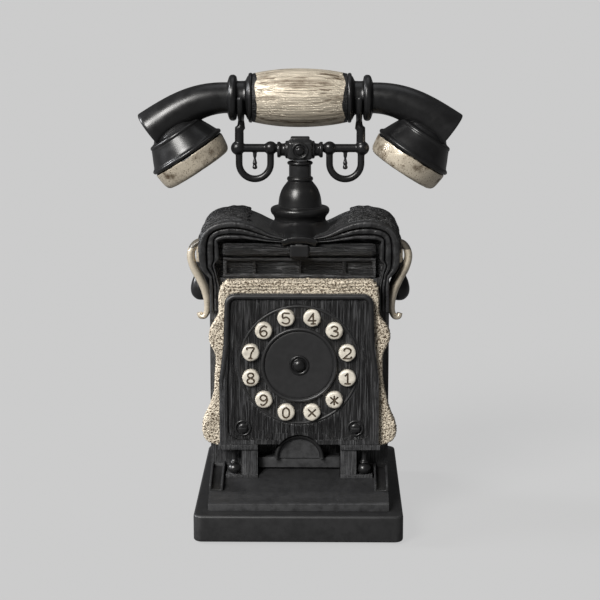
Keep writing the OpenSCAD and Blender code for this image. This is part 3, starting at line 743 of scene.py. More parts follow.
class PHONE_OT_stage(PhoneOperator, bpy.types.Operator):
    """Floor, soft studio light and camera"""

    bl_idname = "phone.stage"
    bl_label = "Stage"

    def execute(self, context):
        scene = context.scene
        mesh = bpy.data.meshes.new("floor")
        bm = bmesh.new()
        bmesh.ops.create_grid(bm, x_segments=2, y_segments=2, size=14)
        bm.to_mesh(mesh)
        bm.free()
        floor = bpy.data.objects.new("floor", mesh)
        scene.collection.objects.link(floor)
        mesh.materials.append(self.floor_finish())
        scene.world = self.studio()
        for light in SUNS:
            self.sun(scene, *light)
        scene.camera = self.camera(scene)
        scene.view_settings.view_transform = "Standard"
        return {"FINISHED"}

    def camera(self, scene):
        """A long lens in front, looking down a little."""
        camera = bpy.data.cameras.new("camera")
        camera.lens = shape_settings().lens
        camera.sensor_width = 36
        camera.clip_end = 50
        eye = bpy.data.objects.new("camera", camera)
        eye.location = CAMERA_AT * MM
        eye.rotation_euler = (math.pi / 2 - CAMERA_DOWN, 0, CAMERA_TURN)
        scene.collection.objects.link(eye)
        return eye

    def floor_finish(self):
        """Pale paper: even and bright to the camera, dim to what stands on it."""
        grey = tuple(finish_settings().stage_grey)
        material, tree, _ = start_material("stage floor")
        seen = add(tree, "ShaderNodeLightPath").outputs["Is Camera Ray"]
        shader = add(tree, "ShaderNodeBsdfPrincipled", {
            "Base Color": tuple(c * FLOOR_DIFFUSE for c in grey), "Roughness": 1.0, "Specular IOR Level": 0.0,
            "Emission Color": grey,
            "Emission Strength": stretch(tree, seen, 0.0, 1.0, FLOOR_FILL, FLOOR_GLOW)})
        add(tree, "ShaderNodeOutputMaterial", {"Surface": shader.outputs[0]})
        return material

    def studio(self):
        """A dim room that looks as pale as the floor from the camera."""
        world = bpy.data.worlds.new("studio")
        world.use_nodes = True
        tree = world.node_tree
        tree.nodes.clear()
        grey = tuple(finish_settings().stage_grey)
        dim = add(tree, "ShaderNodeBackground", {"Color": grey, "Strength": ROOM_FILL})
        pale = add(tree, "ShaderNodeBackground", {"Color": grey, "Strength": 1.0})
        seen = add(tree, "ShaderNodeLightPath").outputs["Is Camera Ray"]
        mix = add(tree, "ShaderNodeMixShader", {0: seen, 1: dim.outputs[0], 2: pale.outputs[0]})
        add(tree, "ShaderNodeOutputWorld", {"Surface": mix.outputs[0]})
        return world

    def sun(self, scene, name, toward, spread, power, colour):
        """A soft light from a direction; a wider spread makes it softer."""
        light = bpy.data.lights.new(name, "SUN")
        light.angle = math.radians(spread)
        light.energy = power
        light.color = colour
        lamp = bpy.data.objects.new(name, light)
        lamp.location = toward
        lamp.rotation_euler = Vector(toward).to_track_quat("Z", "Y").to_euler()
        scene.collection.objects.link(lamp)


# ---------- base ----------

class PHONE_OT_base(PhoneOperator, bpy.types.Operator):
    """Slab, stepped platform with ramps, side rails, feet and bottom plate"""

    bl_idname = "phone.base"
    bl_label = "Base"

    def execute(self, context):
        self.slab()
        settle("ramped_platform", eased("base_platform", 0.8), "phone", "black_lacquer", "black cast",
               node="base_platform")
        settle("ramp_rails", eased("side_rails", 0.35), "phone", "black_lacquer", "black cast",
               node="side_rails")
        dressed(["bottom_plate"], "inner plastic")
        dressed(["rubber_feet"], "foot rubber")
        dressed(["ballast_weight"], "cast iron")
        dressed(["case_screws"], "bare steel")
        return {"FINISHED"}

    def slab(self):
        """Slab with rounded corners and rims, hollow underneath."""
        low, high = span("base_slab")
        wall, hollow = 3.6, 13.4
        bm = block(low, high, edge=0)
        upright = [e for e in bm.edges if abs(e.verts[0].co.z - e.verts[1].co.z) > 1]
        bmesh.ops.bevel(bm, geom=upright, offset=6.0, affect="EDGES", segments=7, profile=0.5, material=-1)
        rims = [e for e in bm.edges if abs(e.verts[0].co.z - e.verts[1].co.z) < 0.01
                and any(abs(f.normal.z) > 0.9 for f in e.link_faces)]
        bmesh.ops.bevel(bm, geom=rims, offset=1.8, affect="EDGES", segments=5, profile=0.5, material=-1)
        bm.normal_update()
        under = [f for f in bm.faces if f.normal.z < -0.99]
        bmesh.ops.inset_region(bm, faces=under, thickness=wall, depth=0)
        grown = bmesh.ops.extrude_face_region(bm, geom=under)
        raised = [v for v in grown["geom"] if isinstance(v, bmesh.types.BMVert)]
        bmesh.ops.translate(bm, vec=(0, 0, hollow), verts=raised)
        bmesh.ops.delete(bm, geom=under, context="FACES_ONLY")
        settle("cast_slab", outward(bm), "phone", "black_lacquer", "black cast", node="base_slab")


# ---------- body ----------

class PHONE_OT_body(PhoneOperator, bpy.types.Operator):
    """Body shell, back cover, sockets and the works inside"""

    bl_idname = "phone.body"
    bl_label = "Body"

    def execute(self, context):
        settle("body_casing", eased("body_shell", 1.2), "phone", "black_lacquer", "black upright grain",
               node="body_shell")
        settle("rear_cover", eased("back_cover", 0.5), "phone", "black_lacquer", "black cast",
               node="back_cover")
        settle("line_socket", eased("line_jack", 0.4), "phone", "antique_silver", "socket ivory",
               node="line_jack")
        settle("handset_socket", eased("cord_jack", 0.4), "phone", "inner_plastic", "inner plastic",
               node="cord_jack")
        settle("ringer_slider", eased("ringer_switch", 0.4), "ringer_switch", "antique_silver", "silver cast",
               node="ringer_switch")
        dressed(["key_guide", "hook_switch"], "inner plastic")
        dressed(["keypad_board", "main_board"], "circuit board")
        dressed(["ringer_speaker", "cradle_post", "handset_capsules"], "bare steel")
        return {"FINISHED"}


# ---------- hood ----------

class PHONE_OT_hood(PhoneOperator, bpy.types.Operator):
    """Hood shell, shoulder covers, moulding, roll, clasp and slats"""

    bl_idname = "phone.hood"
    bl_label = "Hood"

    def execute(self, context):
        settle("hood_casing", eased("hood_shell", 0.8), "phone", "black_lacquer", "black bark",
               node="hood_shell")
        self.moulding()
        self.covers()
        self.roll()
        settle("slatted_rail", eased("slat_rail", 0.5), "phone", "black_lacquer", "black level grain",
               node="slat_rail")
        self.clasp()
        return {"FINISHED"}

    def outline(self, steps):
        """Half outline of the hood: points with their outward normals and their share of an inset."""
        line = flowing([Vector(p) for p in HOOD_LINE], steps)
        half = []
        for i, p in enumerate(line):
            run = line[min(i + 1, len(line) - 1)] - line[max(i - 1, 0)]
            out = Vector((run.y, -run.x, 0)).normalized()
            half.append((Vector((p.x, p.y, 0)), out, p.z))
        return half

    def moulding(self):
        """Three rounded bands that follow the hood's edge and run down the sides."""
        foot = [(Vector((HOOD_LINE[0][0], z, 0)), Vector((1, 0, 0)), 0.5) for z in (149, 154, 160, 166)]
        right = foot + self.outline(3)
        left = [(Vector((-p.x, p.y, 0)), Vector((-out.x, out.y, 0)), share) for p, out, share in right[:-1]]
        whole = left + right[::-1]
        back = span("hood_shell")[0].y + 0.2
        parts = []
        for inner, outer, front in ((0.3, 5.6, HOOD_FRONT), (5.9, 10.6, HOOD_FRONT + 1.4),
                                    (10.9, 14.4, HOOD_FRONT + 0.4)):
            mid, half_wide, deep = (inner + outer) / 2, (outer - inner) / 2, back - front
            section = [Vector((mid + half_wide * math.copysign(abs(math.cos(a)) ** 0.55, math.cos(a)),
                               back - deep * math.sin(a) ** 0.6, 0))
                       for a in (math.pi * i / 14 for i in range(15))]
            section.append(section[0].copy())

            def where(u, v, section=section, inner=inner):
                at = u * (len(whole) - 1)
                i = min(int(at), len(whole) - 2)
                t = at - i
                p, out = whole[i][0].lerp(whole[i + 1][0], t), whole[i][1].lerp(whole[i + 1][1], t)
                share = max(whole[i][2] + (whole[i + 1][2] - whole[i][2]) * t, 0.2)
                edge = along(section, v)
                worn = 0.22 * noise.noise(Vector((p.x * 0.06, p.y * 0.06, inner)) * 2)
                spot = p - out * (edge.x * share)
                return Vector((spot.x, edge.y + (worn if edge.y < back - 1 else 0.0), spot.y))

            parts.append(swept(len(whole) - 1, 15, where))
        settle("hood_moulding", joined(*parts), "phone", "black_lacquer", "black ribbed", node="hood_frame",
               smooth=50)

    def covers(self):
        """Bark-like covers that follow the shoulders and end in a ragged tip."""
        front, back = span("hood_caps")[0].y - 1.0, span("hood_caps")[1].y
        line = self.outline(4)
        # The stretch of the outline, in its own points, that a cover lies on
        first, last = 11, 37
        relief = shape_settings().grain_relief / MM

        def where(u, v):
            y = front + (back - front) * v
            ragged = 0.10 * noise.noise(Vector((y * 0.3, 0, 3))) + 0.05 * noise.noise(Vector((y * 1.1, 0, 8)))
            at = first + (last - first) * u * (0.93 + ragged)
            i = int(at)
            t = at - i
            p, out = line[i][0].lerp(line[i + 1][0], t), line[i][1].lerp(line[i + 1][1], t).normalized()
            ridge = noise.noise(Vector((at * 0.16, y * 0.55, 2)))
            fine = noise.noise(Vector((at * 0.5, y * 1.9, 5)))
            lift = 0.75 + relief * (2.3 * ridge + 1.8 * fine) - 0.5 * max(0.0, u - 0.9) / 0.1
            if v < 0.06:
                lift -= (0.06 - v) * 12
            spot = p + out * lift
            return Vector((spot.x, y, spot.y))

        settle("shoulder_covers", both_sides(lambda: self.cover(where)), "phone", "black_lacquer",
               "black bark", node="hood_caps", smooth=60)

    def cover(self, where):
        """One cover, from its outer skin inwards."""
        sheet = mapped(90, 90, where)
        inside = Vector((40, 0, 185))
        sheet.normal_update()
        sheet.faces.ensure_lookup_table()
        middle_face = sheet.faces[len(sheet.faces) // 2]
        if middle_face.normal.dot(middle_face.calc_center_median() - inside) < 0:
            bmesh.ops.reverse_faces(sheet, faces=sheet.faces)
        bmesh.ops.solidify(sheet, geom=sheet.faces[:], thickness=1.5)
        return outward(sheet)

    def clasp(self):
        """Rounded strap over the middle of the roll."""
        low, high = span("hood_clasp")
        roll = middle("hood_roll")
        radius = roll.z - span("hood_roll")[0].z
        plate = block((low.x, low.y, roll.z - radius), (high.x, low.y + 3.0, high.z), 1.1, 4)
        profile = flowing([(radius - 1, low.x), (radius + 0.9, low.x + 0.2), (radius + 1.3, low.x + 1.2),
                           (radius + 1.3, high.x - 1.2), (radius + 0.9, high.x - 0.2),
                           (radius - 1, high.x)], 3)
        band = facing_x(turned(profile + [Vector((radius - 1, low.x))], 48), (0, roll.y, roll.z))
        knob = block((-2.6, low.y + 0.4, high.z - 1.5), (2.6, low.y + 3.4, high.z + 1.6), 1.0, 4)
        settle("roll_clasp", cast_as_one(joined(plate, band, knob), 0.3, 3), "phone", "black_lacquer",
               "black cast", node="hood_clasp", smooth=180)

    def roll(self):
        """A turned roll with grain cut along it."""
        low, high = span("hood_roll")
        mid = middle("hood_roll")
        radius = (high.z - low.z) / 2
        end = (high.x - low.x) / 2
        turn = 2.4
        profile = flowing([(0, -end), (radius * 0.75, -end), (radius, turn - end)], 4)
        profile += [Vector((radius, turn - end + (end - turn) * i / 30)) for i in range(1, 60)]
        profile += flowing([(radius, end - turn), (radius * 0.75, end), (0, end)], 4)
        bm = facing_x(turned(profile, 56), mid)

        def cut(co, normal):
            around = math.atan2(co.z - mid.z, co.y - mid.y)
            return 0.35 * noise.noise(Vector((co.x * 0.06, around * 5.5, 2)))

        settle("turned_roll", carve(bm, cut), "phone", "black_lacquer", "black level grain", node="hood_roll")


# ---------- silver surround ----------

class PHONE_OT_surround(PhoneOperator, bpy.types.Operator):
    """Knobbly silver surround behind the front panel"""

    bl_idname = "phone.surround"
    bl_label = "Surround"

    def execute(self, context):
        bm = cast_as_one(copy_of("surround_trim"), 0.65, 9)
        relief = shape_settings().knit_relief / MM
        low, high = span("surround_trim")
        back = low.y + 11.5
        folds_foot = high.z - 7
        fold_pitch = 2.1

        def knit(co, normal):
            if co.y > back:
                return 0.0
            across = min(1.0, (back - co.y) / 3)
            fold = 0.0
            if co.z > folds_foot:
                wander = 1.1 * noise.noise(Vector((co.x * 0.06, 0, 4)))
                share = min(1.0, (co.z - folds_foot) / 2)
                fold = share * 0.5 * math.sin((co.z + wander) * math.tau / fold_pitch)
                if normal.z > 0.4:
                    fold += 0.9 * max(0.0, noise.noise(Vector((co.x * 0.55, co.y * 0.4, 7))))
            bulge = 0.9 * noise.noise(Vector((co.x * 0.07, co.y * 0.05, co.z * 0.07)))
            knobs = noise.noise(co * 1.0) + 0.6 * noise.noise(co * 2.0)
            return across * (0.4 + fold + bulge + relief * knobs)

        settle("knitted_surround", carve(bm, knit), "phone", "antique_silver", "silver knit",
               node="surround_trim", smooth=180)
        return {"FINISHED"}


# ---------- front panel ----------

class PHONE_OT_panel(PhoneOperator, bpy.types.Operator):
    """Front panel with its bead and screws, the small arch, the legs and their spindles"""

    bl_idname = "phone.panel"
    bl_label = "Front panel"

    def execute(self, context):
        settle("panel_board", eased("front_panel", 0.5), "phone", "black_lacquer", "black panel",
               node="front_panel")
        self.field()
        self.bead()
        self.screws()
        self.arch()
        settle("panel_legs", eased("legs", 0.5), "phone", "black_lacquer", "black upright grain", node="legs")
        self.spindles()
        return {"FINISHED"}

    def half_width(self, z):
        """Half the width between the bead's middle lines at a height."""
        wide, narrow = PANEL_HIGH.x - 1.9, PANEL_HIGH.x - 5.2
        if z < FLARE[0]:
            return wide
        if z < FLARE[1]:
            return wide + (narrow - wide) * (z - FLARE[0]) / (FLARE[1] - FLARE[0])
        return narrow - 0.9 * (z - FLARE[1]) / (PANEL_HIGH.z - FLARE[1])

    def field(self):
        """Board face with upright grain cut in it, smooth under the dial and open at its foot."""
        low, high = PANEL_LOW.z + 3.0, PANEL_HIGH.z - 3.2
        wide, narrow, foot_turn, head_turn = PANEL_HIGH.x - 5.5, PANEL_HIGH.x - 7.3, 8.0, 4.5
        face = PANEL_LOW.y + 1.45
        relief = shape_settings().grain_relief / MM
        arch = span("ringer_arch")
        smooth_disc = 41.5

        def reach(z):
            sloped = wide + (narrow - wide) * (z - FLARE[0]) / (FLARE[1] - FLARE[0])
            half = wide if z < FLARE[0] else max(narrow, sloped)
            under, over = low + foot_turn - z, z - high + head_turn
            if under > 0:
                half -= foot_turn - math.sqrt(max(foot_turn ** 2 - under ** 2, 0))
            if over > 0:
                half -= head_turn - math.sqrt(max(head_turn ** 2 - over ** 2, 0))
            return half

        def where(u, v):
            z = low + (high - low) * v
            x = (2 * u - 1) * reach(z)
            dial = math.hypot(x - DIAL.x, z - DIAL.z)
            edge = min(1.0, (reach(z) - abs(x)) / 1.5)
            carved = edge * min(1.0, max(0.0, (dial - smooth_disc) / 1.2))
            lines = noise.noise(Vector((x * 1.05, 0, z * 0.055)))
            lines += 0.7 * noise.noise(Vector((x * 2.3, 4, z * 0.09)))
            y = face - carved * (0.25 + relief * 1.5 * lines)
            if dial < smooth_disc or (z < arch[1].z + 1.5 and abs(x) < arch[1].x + 1.5):
                y = face + 0.4
            return Vector((x, y, z))

        bm = mapped(240, 150, where)
        gone = [f for f in bm.faces if all(v.co.y > face + 0.3 for v in f.verts)]
        bmesh.ops.delete(bm, geom=gone, context="FACES")
        bm.normal_update()
        if sum(f.normal.y for f in bm.faces) > 0:
            bmesh.ops.reverse_faces(bm, faces=bm.faces)
        bmesh.ops.solidify(bm, geom=bm.faces[:], thickness=0.5)
        settle("panel_grain", outward(bm), "phone", "black_lacquer", "black panel", smooth=60)

    def bead(self):
        """Round bead along the panel's top and sides."""
        top = PANEL_HIGH.z - 1.9
        turn = 5.6
        foot = FLARE[0] - 10
        up = [foot + (top - turn - foot) * i / 40 for i in range(41)]
        half = [(self.half_width(z), z) for z in up]
        corner = Vector((half[-1][0] - turn, top - turn))
        half += [(corner.x + turn * math.cos(a), corner.y + turn * math.sin(a))
                 for a in (math.radians(9 * i) for i in range(1, 11))]
        half += [(corner.x * (1 - i / 12), top) for i in range(1, 12)]
        path = half + [(0, top)] + [(-x, z) for x, z in reversed(half)]
        points = [Vector((x, PANEL_LOW.y + 0.75, z)) for x, z in path]
        radii = [min(1.72, 0.5 + 0.09 * (p.z - foot)) + 0.09 * noise.noise(Vector((i * 0.37, 0, 0)))
                 for i, p in enumerate(points)]
        settle("panel_bead", tube(points, radii, 20), "phone", "black_lacquer", "black cast")

    def screws(self):
        """Round screw heads with a raised bar, each in its washer."""
        low, high = span("panel_screws")
        parts = []
        for x in (low.x + 3.6, high.x - 3.6):
            z = (low.z + high.z) / 2
            head = turned(flowing([(0, 1.0), (1.8, 0.9), (3.1, 0.3), (3.4, -0.6), (3.4, -1.6)], 3)
                          + [Vector((0, -1.6))], 40)
            ring = turned(flowing([(4.3, -1.6), (4.4, -0.5), (5.0, -0.1), (5.6, -0.5), (5.7, -1.6)], 3)
                          + [Vector((4.3, -1.6))], 48)
            bar = block((-2.5, -0.35, 0.55), (2.5, 0.35, 1.35), 0.2, 2)
            for part in (head, ring, bar):
                parts.append(facing_front(part, (x, PANEL_LOW.y - 0.1, z)))
        settle("panel_screw_heads", joined(*parts), "phone", "black_metal", "black metal",
               node="panel_screws")

    def arch(self):
        """Half-round rim with a sunk tympanum."""
        low, high = span("ringer_arch")
        foot, radius, front = low.z, high.z - low.z, low.y
        inner = radius - 2.9
        rim = turned(flowing([(inner, 3.4), (inner, 1.2), (radius - 2.2, 0.2), (radius - 1.3, -0.1),
                              (radius - 0.4, 0.3), (radius, 1.4), (radius, 6.4)], 4)
                     + [Vector((inner, 6.4)), Vector((inner, 3.4))], 96)
        back = turned([Vector((0, 2.4)), Vector((radius - 2.6, 2.4)), Vector((radius - 2.6, 13.4)),
                       Vector((0, 13.4))], 96)
        whole = facing_front(joined(rim, back))
        bmesh.ops.reverse_faces(whole, faces=whole.faces)
        bmesh.ops.scale(whole, vec=(1, -1, 1), verts=whole.verts)
        bmesh.ops.translate(whole, vec=(0, front, foot), verts=whole.verts)
        cut = bmesh.ops.bisect_plane(whole, geom=whole.verts[:] + whole.edges[:] + whole.faces[:],
                                     plane_co=(0, 0, foot), plane_no=(0, 0, -1), clear_outer=True)
        bmesh.ops.holes_fill(whole, edges=[e for e in cut["geom_cut"] if isinstance(e, bmesh.types.BMEdge)])
        settle("round_arch", outward(whole), "phone", "black_lacquer", "black cast", node="ringer_arch")

    def spindles(self):
        """Small turned baluster at the foot of each leg."""
        low, high = span("leg_spindles")
        x, y = high.x - 4.6, (low.y + high.y) / 2
        profile = flowing([(0, 0), (2.2, 0.1), (4.1, 1.7), (4.7, 3.8), (3.7, 6.1), (2.0, 7.3), (2.9, 8.3),
                           (2.0, 9.3), (1.5, 11.5), (1.7, 14.2), (2.9, 16.6), (2.9, 18), (0, 18)], 4)
        parts = [moved(turned(profile, 40), Matrix.Translation((side * x, y, low.z))) for _, side in SIDES]
        settle("turned_spindles", joined(*parts), "phone", "black_lacquer", "black smooth",
               node="leg_spindles")


# ---------- keys ----------

def glyph(name):
    """Strokes of a numeral in a box one unit high, as lists of points."""
    strokes = {
        "1": [[(-0.18, 0.78), (0.04, 1), (0.04, 0)], [(-0.22, 0), (0.28, 0)]],
        "2": [[(-0.3, 0.76), (-0.22, 0.95), (0.04, 1.0), (0.3, 0.86), (0.28, 0.6), (0.02, 0.34),
               (-0.32, 0.02), (-0.32, 0.0), (0.34, 0.0), (0.34, 0.16)]],
        "3": [[(-0.28, 0.86), (-0.04, 1.0), (0.25, 0.88), (0.24, 0.64), (-0.06, 0.54), (0.27, 0.42),
               (0.3, 0.14), (0.0, 0.0), (-0.32, 0.13)]],
        "4": [[(0.12, 0), (0.12, 1), (-0.34, 0.3), (0.34, 0.3)], [(-0.06, 0), (0.3, 0)]],
        "5": [[(0.3, 1), (-0.24, 1), (-0.28, 0.56), (0.04, 0.64), (0.3, 0.42), (0.26, 0.1), (-0.04, 0.0),
               (-0.32, 0.12)]],
        "6": [[(0.27, 0.9), (0.04, 1.0), (-0.26, 0.72), (-0.31, 0.3), (-0.1, 0.02), (0.18, 0.04), (0.32, 0.3),
               (0.14, 0.54), (-0.16, 0.5), (-0.3, 0.28)]],
        "7": [[(-0.32, 0.84), (-0.32, 1), (0.32, 1), (0.06, 0.5), (-0.02, 0)], [(-0.16, 0), (0.12, 0)]],
        "8": [[(0.0, 0.54), (-0.24, 0.68), (-0.22, 0.92), (0.0, 1.0), (0.22, 0.92), (0.24, 0.68), (0.0, 0.54),
               (-0.3, 0.34), (-0.27, 0.08), (0.0, 0.0), (0.27, 0.08), (0.3, 0.34), (0.0, 0.54)]],
        "9": [[(-0.27, 0.1), (-0.04, 0.0), (0.26, 0.28), (0.31, 0.7), (0.1, 0.98), (-0.18, 0.96),
               (-0.32, 0.7), (-0.14, 0.46), (0.16, 0.5), (0.3, 0.72)]],
        "0": [[(0.0, 1.0), (-0.24, 0.84), (-0.3, 0.5), (-0.24, 0.16), (0.0, 0.0), (0.24, 0.16), (0.3, 0.5),
               (0.24, 0.84), (0.0, 1.0)]],
        "hash": [[(-0.32, 0.18), (0.32, 0.82)], [(-0.32, 0.82), (0.32, 0.18)]],
        "star": [[(-0.32, 0.2), (0.32, 0.8)], [(-0.32, 0.8), (0.32, 0.2)], [(0, 0.08), (0, 0.92)]],
    }
    return strokes[name]


class PHONE_OT_keys(PhoneOperator, bpy.types.Operator):
    """Dial ring, disc and hub, and the twelve numbered keys"""

    bl_idname = "phone.keys"
    bl_label = "Dial and keys"

    def execute(self, context):
        self.ring()
        self.disc()
        self.boss()
        for i, key in enumerate(KEYS):
            self.key(key, FIRST_KEY + KEY_STEP * i)
        return {"FINISHED"}

    def ring(self):
        """Fine raised line round the keys."""
        low, high = span("dial_ring")
        radius = (high.x - low.x) / 2
        inner = radius - 1.9
        profile = flowing([(inner, 0), (radius - 1.5, 0.55), (radius - 0.9, 0.75), (radius - 0.3, 0.55),
                           (radius, 0)], 3) + [Vector((inner, 0))]
        settle("dial_line", facing_front(turned(profile, 128), (DIAL.x, high.y, DIAL.z)), "phone",
               "black_lacquer", "black dial", node="dial_ring")

    def disc(self):
        """Slightly domed disc with a rounded rim."""
        low, high = span("dial_disc")
        radius = (high.x - low.x) / 2
        profile = flowing([(0, 0.75), (10, 0.8), (20, 1.05), (radius - 3.4, 1.0), (radius - 3.1, 0.6),
                           (radius - 2.6, 0.6), (radius - 2.2, 1.5), (radius - 1.2, 2.0), (radius - 0.3, 1.5),
                           (radius, 0.5), (radius, 0)], 4) + [Vector((0, 0))]
        settle("dial_plate", facing_front(turned(profile, 128), (DIAL.x, high.y, DIAL.z)), "phone",
               "black_lacquer", "black dial", node="dial_disc")

    def boss(self):
        """Round boss in its washer at the middle of the dial."""
        base = span("dial_disc")[1].y
        profile = flowing([(0, 4.4), (1.8, 4.2), (3.4, 3.3), (4.1, 2.1), (4.2, 1.2), (4.8, 1.0), (5.3, 1.6),
                           (6.2, 1.9), (6.8, 1.4), (6.9, 0.8)], 4) + [Vector((0, 0.8))]
        settle("dial_boss", facing_front(turned(profile, 64), (DIAL.x, base, DIAL.z)), "phone",
               "black_lacquer", "black smooth", node="dial_hub")

    def key(self, name, angle):
        """A domed cap on its stem, with its numeral cut in."""
        node = "key_" + name
        low, high = span(node)
        at = Vector((DIAL.x + KEY_CIRCLE * math.cos(angle), low.y, DIAL.z + KEY_CIRCLE * math.sin(angle)))
        reach = high.y - low.y
        profile = flowing([(0, 0.0), (3.4, -0.02), (4.9, -0.25), (5.6, -0.8), (5.88, -1.7), (5.9, -3.0)], 4)
        profile += [Vector(p) for p in ((5.9, -6.7), (6.9, -6.75), (6.9, -7.75), (2.2, -7.8), (2.2, -reach),
                                        (0, -reach))]
        bm = turned(profile, 48)
        seed = Vector((sum(ord(c) for c in name), 0, 0))
        carve(bm, lambda co, n: 0.3 * noise.noise(co * 0.3 + seed) if co.z > -3 else 0.0)
        cap = self.engraved(facing_front(bm, at), facing_front(self.strokes(name), at))
        place("cap_" + name, cap, node, "antique_silver", node=node)

    def strokes(self, name):
        """The numeral as round strokes lying across the key's face."""
        height, half = 7.1, shape_settings().numeral_width / MM / 2
        parts = []
        for line in glyph(name):
            curved = len(line) > 4
            points = flowing(line, 4) if curved else [Vector(p) for p in line]
            path = [Vector((p.x * height * 1.05, (p.y - 0.5) * height, -0.02)) for p in points]
            for a, b in zip(path, path[1:]):
                if (b - a).length > 0.05:
                    parts.append(tube([a, b], [half, half], 8))
            for p in path:
                ball = bmesh.new()
                bmesh.ops.create_icosphere(ball, subdivisions=1, radius=half * 1.04,
                                           matrix=Matrix.Translation(p))
                parts.append(ball)
        return cast_as_one(joined(*parts), 0.11, 1)

    def engraved(self, cap, cutter):
        """Cuts the strokes into the cap; the cut faces take the second finish."""
        holders = []
        for label, bm, look in (("cap", cap, "key cream"), ("cutter", cutter, "numeral brown")):
            bmesh.ops.scale(bm, vec=(MM, MM, MM), verts=bm.verts)
            mesh = bpy.data.meshes.new(label)
            bm.to_mesh(mesh)
            bm.free()
            mesh.materials.append(finish(look))
            holder = bpy.data.objects.new(label, mesh)
            bpy.context.scene.collection.objects.link(holder)
            holders.append(holder)
        cap_object, cutter_object = holders
        cut = cap_object.modifiers.new("cut", "BOOLEAN")
        cut.operation = "DIFFERENCE"
        cut.solver = "EXACT"
        cut.material_mode = "TRANSFER"
        cut.object = cutter_object
        shape = cap_object.evaluated_get(bpy.context.evaluated_depsgraph_get())
        result = bpy.data.meshes.new_from_object(shape)
        for holder in holders:
            mesh = holder.data
            bpy.data.objects.remove(holder)
            bpy.data.meshes.remove(mesh)
        return result


# ---------- side ornaments ----------

class PHONE_OT_ornaments(PhoneOperator, bpy.types.Operator):
    """Silver straps and black hooks on the sides"""

    bl_idname = "phone.ornaments"
    bl_label = "Side ornaments"

    def execute(self, context):
        self.straps()
        self.hooks()
        return {"FINISHED"}

    def straps(self):
        """Cast ribbons that hang from the hood's sides and curl out at their feet."""
        low, high = span("side_straps")
        mid, reach = (low.y + high.y) / 2, (high.y - low.y) / 2
        route = flowing([(67.4, 196.2), (71.6, 193.6), (74.2, 189), (74.3, 183.6), (72.3, 177.4),
                         (68.6, 170.4), (65.4, 163), (63.6, 155.5), (63.4, 148.6), (65.2, 143.9),
                         (68.2, 143.6), (69.0, 145.8)], 6)
        route = [Vector((p.x, 0, p.y)) for p in route]

        def ribbon(u, v):
            p = along(route, u)
            run = (along(route, u + 0.02) - along(route, u - 0.02)).normalized()
            out = Vector((run.z, 0, -run.x))
            swell = 0.25 * math.sin(math.pi * min(1.0, u * 1.3))
            taper = 0.35 * max(0.0, u - 0.7) / 0.3
            wide = reach * (0.75 + swell - taper)
            thick = 2.0 + 0.9 * math.sin(math.pi * min(1.0, max(0.0, u * 1.25))) ** 0.8
            a = math.tau * v
            rough = 0.12 * noise.noise(Vector((u * 14, math.cos(a) * 2, math.sin(a) * 2)))
            spot = p + out * ((thick + rough) * math.sin(a) * -1)
            return Vector((spot.x, mid + wide * math.copysign(abs(math.cos(a)) ** 0.8, math.cos(a)), spot.z))

        def strap():
            rivet = turned(flowing([(0, 1.7), (1.6, 1.3), (2.5, 0.2), (2.6, -1.4)], 4)
                           + [Vector((0, -1.4))], 32)
            plate = block((61, low.y + 1.5, 181.5), (70.6, high.y - 1.5, 196.4), 1.6, 4)
            return joined(swept(90, 28, ribbon), facing_x(rivet, (75.2, mid, 186)), plate)

        settle("silver_straps", both_sides(strap), "phone", "antique_silver", "silver strap",
               node="side_straps", smooth=60)

    def hooks(self):
        """Teardrop knobs that hang under the hood."""
        low, high = span("side_hooks")
        y = (low.y + high.y) / 2
        profile = flowing([(0, 0), (3.6, 0.7), (6.6, 3.8), (7.5, 8.2), (6.5, 13.6), (4.3, 19), (3.0, 24.6),
                           (2.6, 30.6), (0, 32.6)], 5)
        parts = [moved(turned(profile, 40), Matrix.Translation((side * 69.5, y, low.z))) for _, side in SIDES]
        settle("teardrop_hooks", joined(*parts), "phone", "black_lacquer", "black smooth", node="side_hooks")


# ---------- stem and cradle ----------

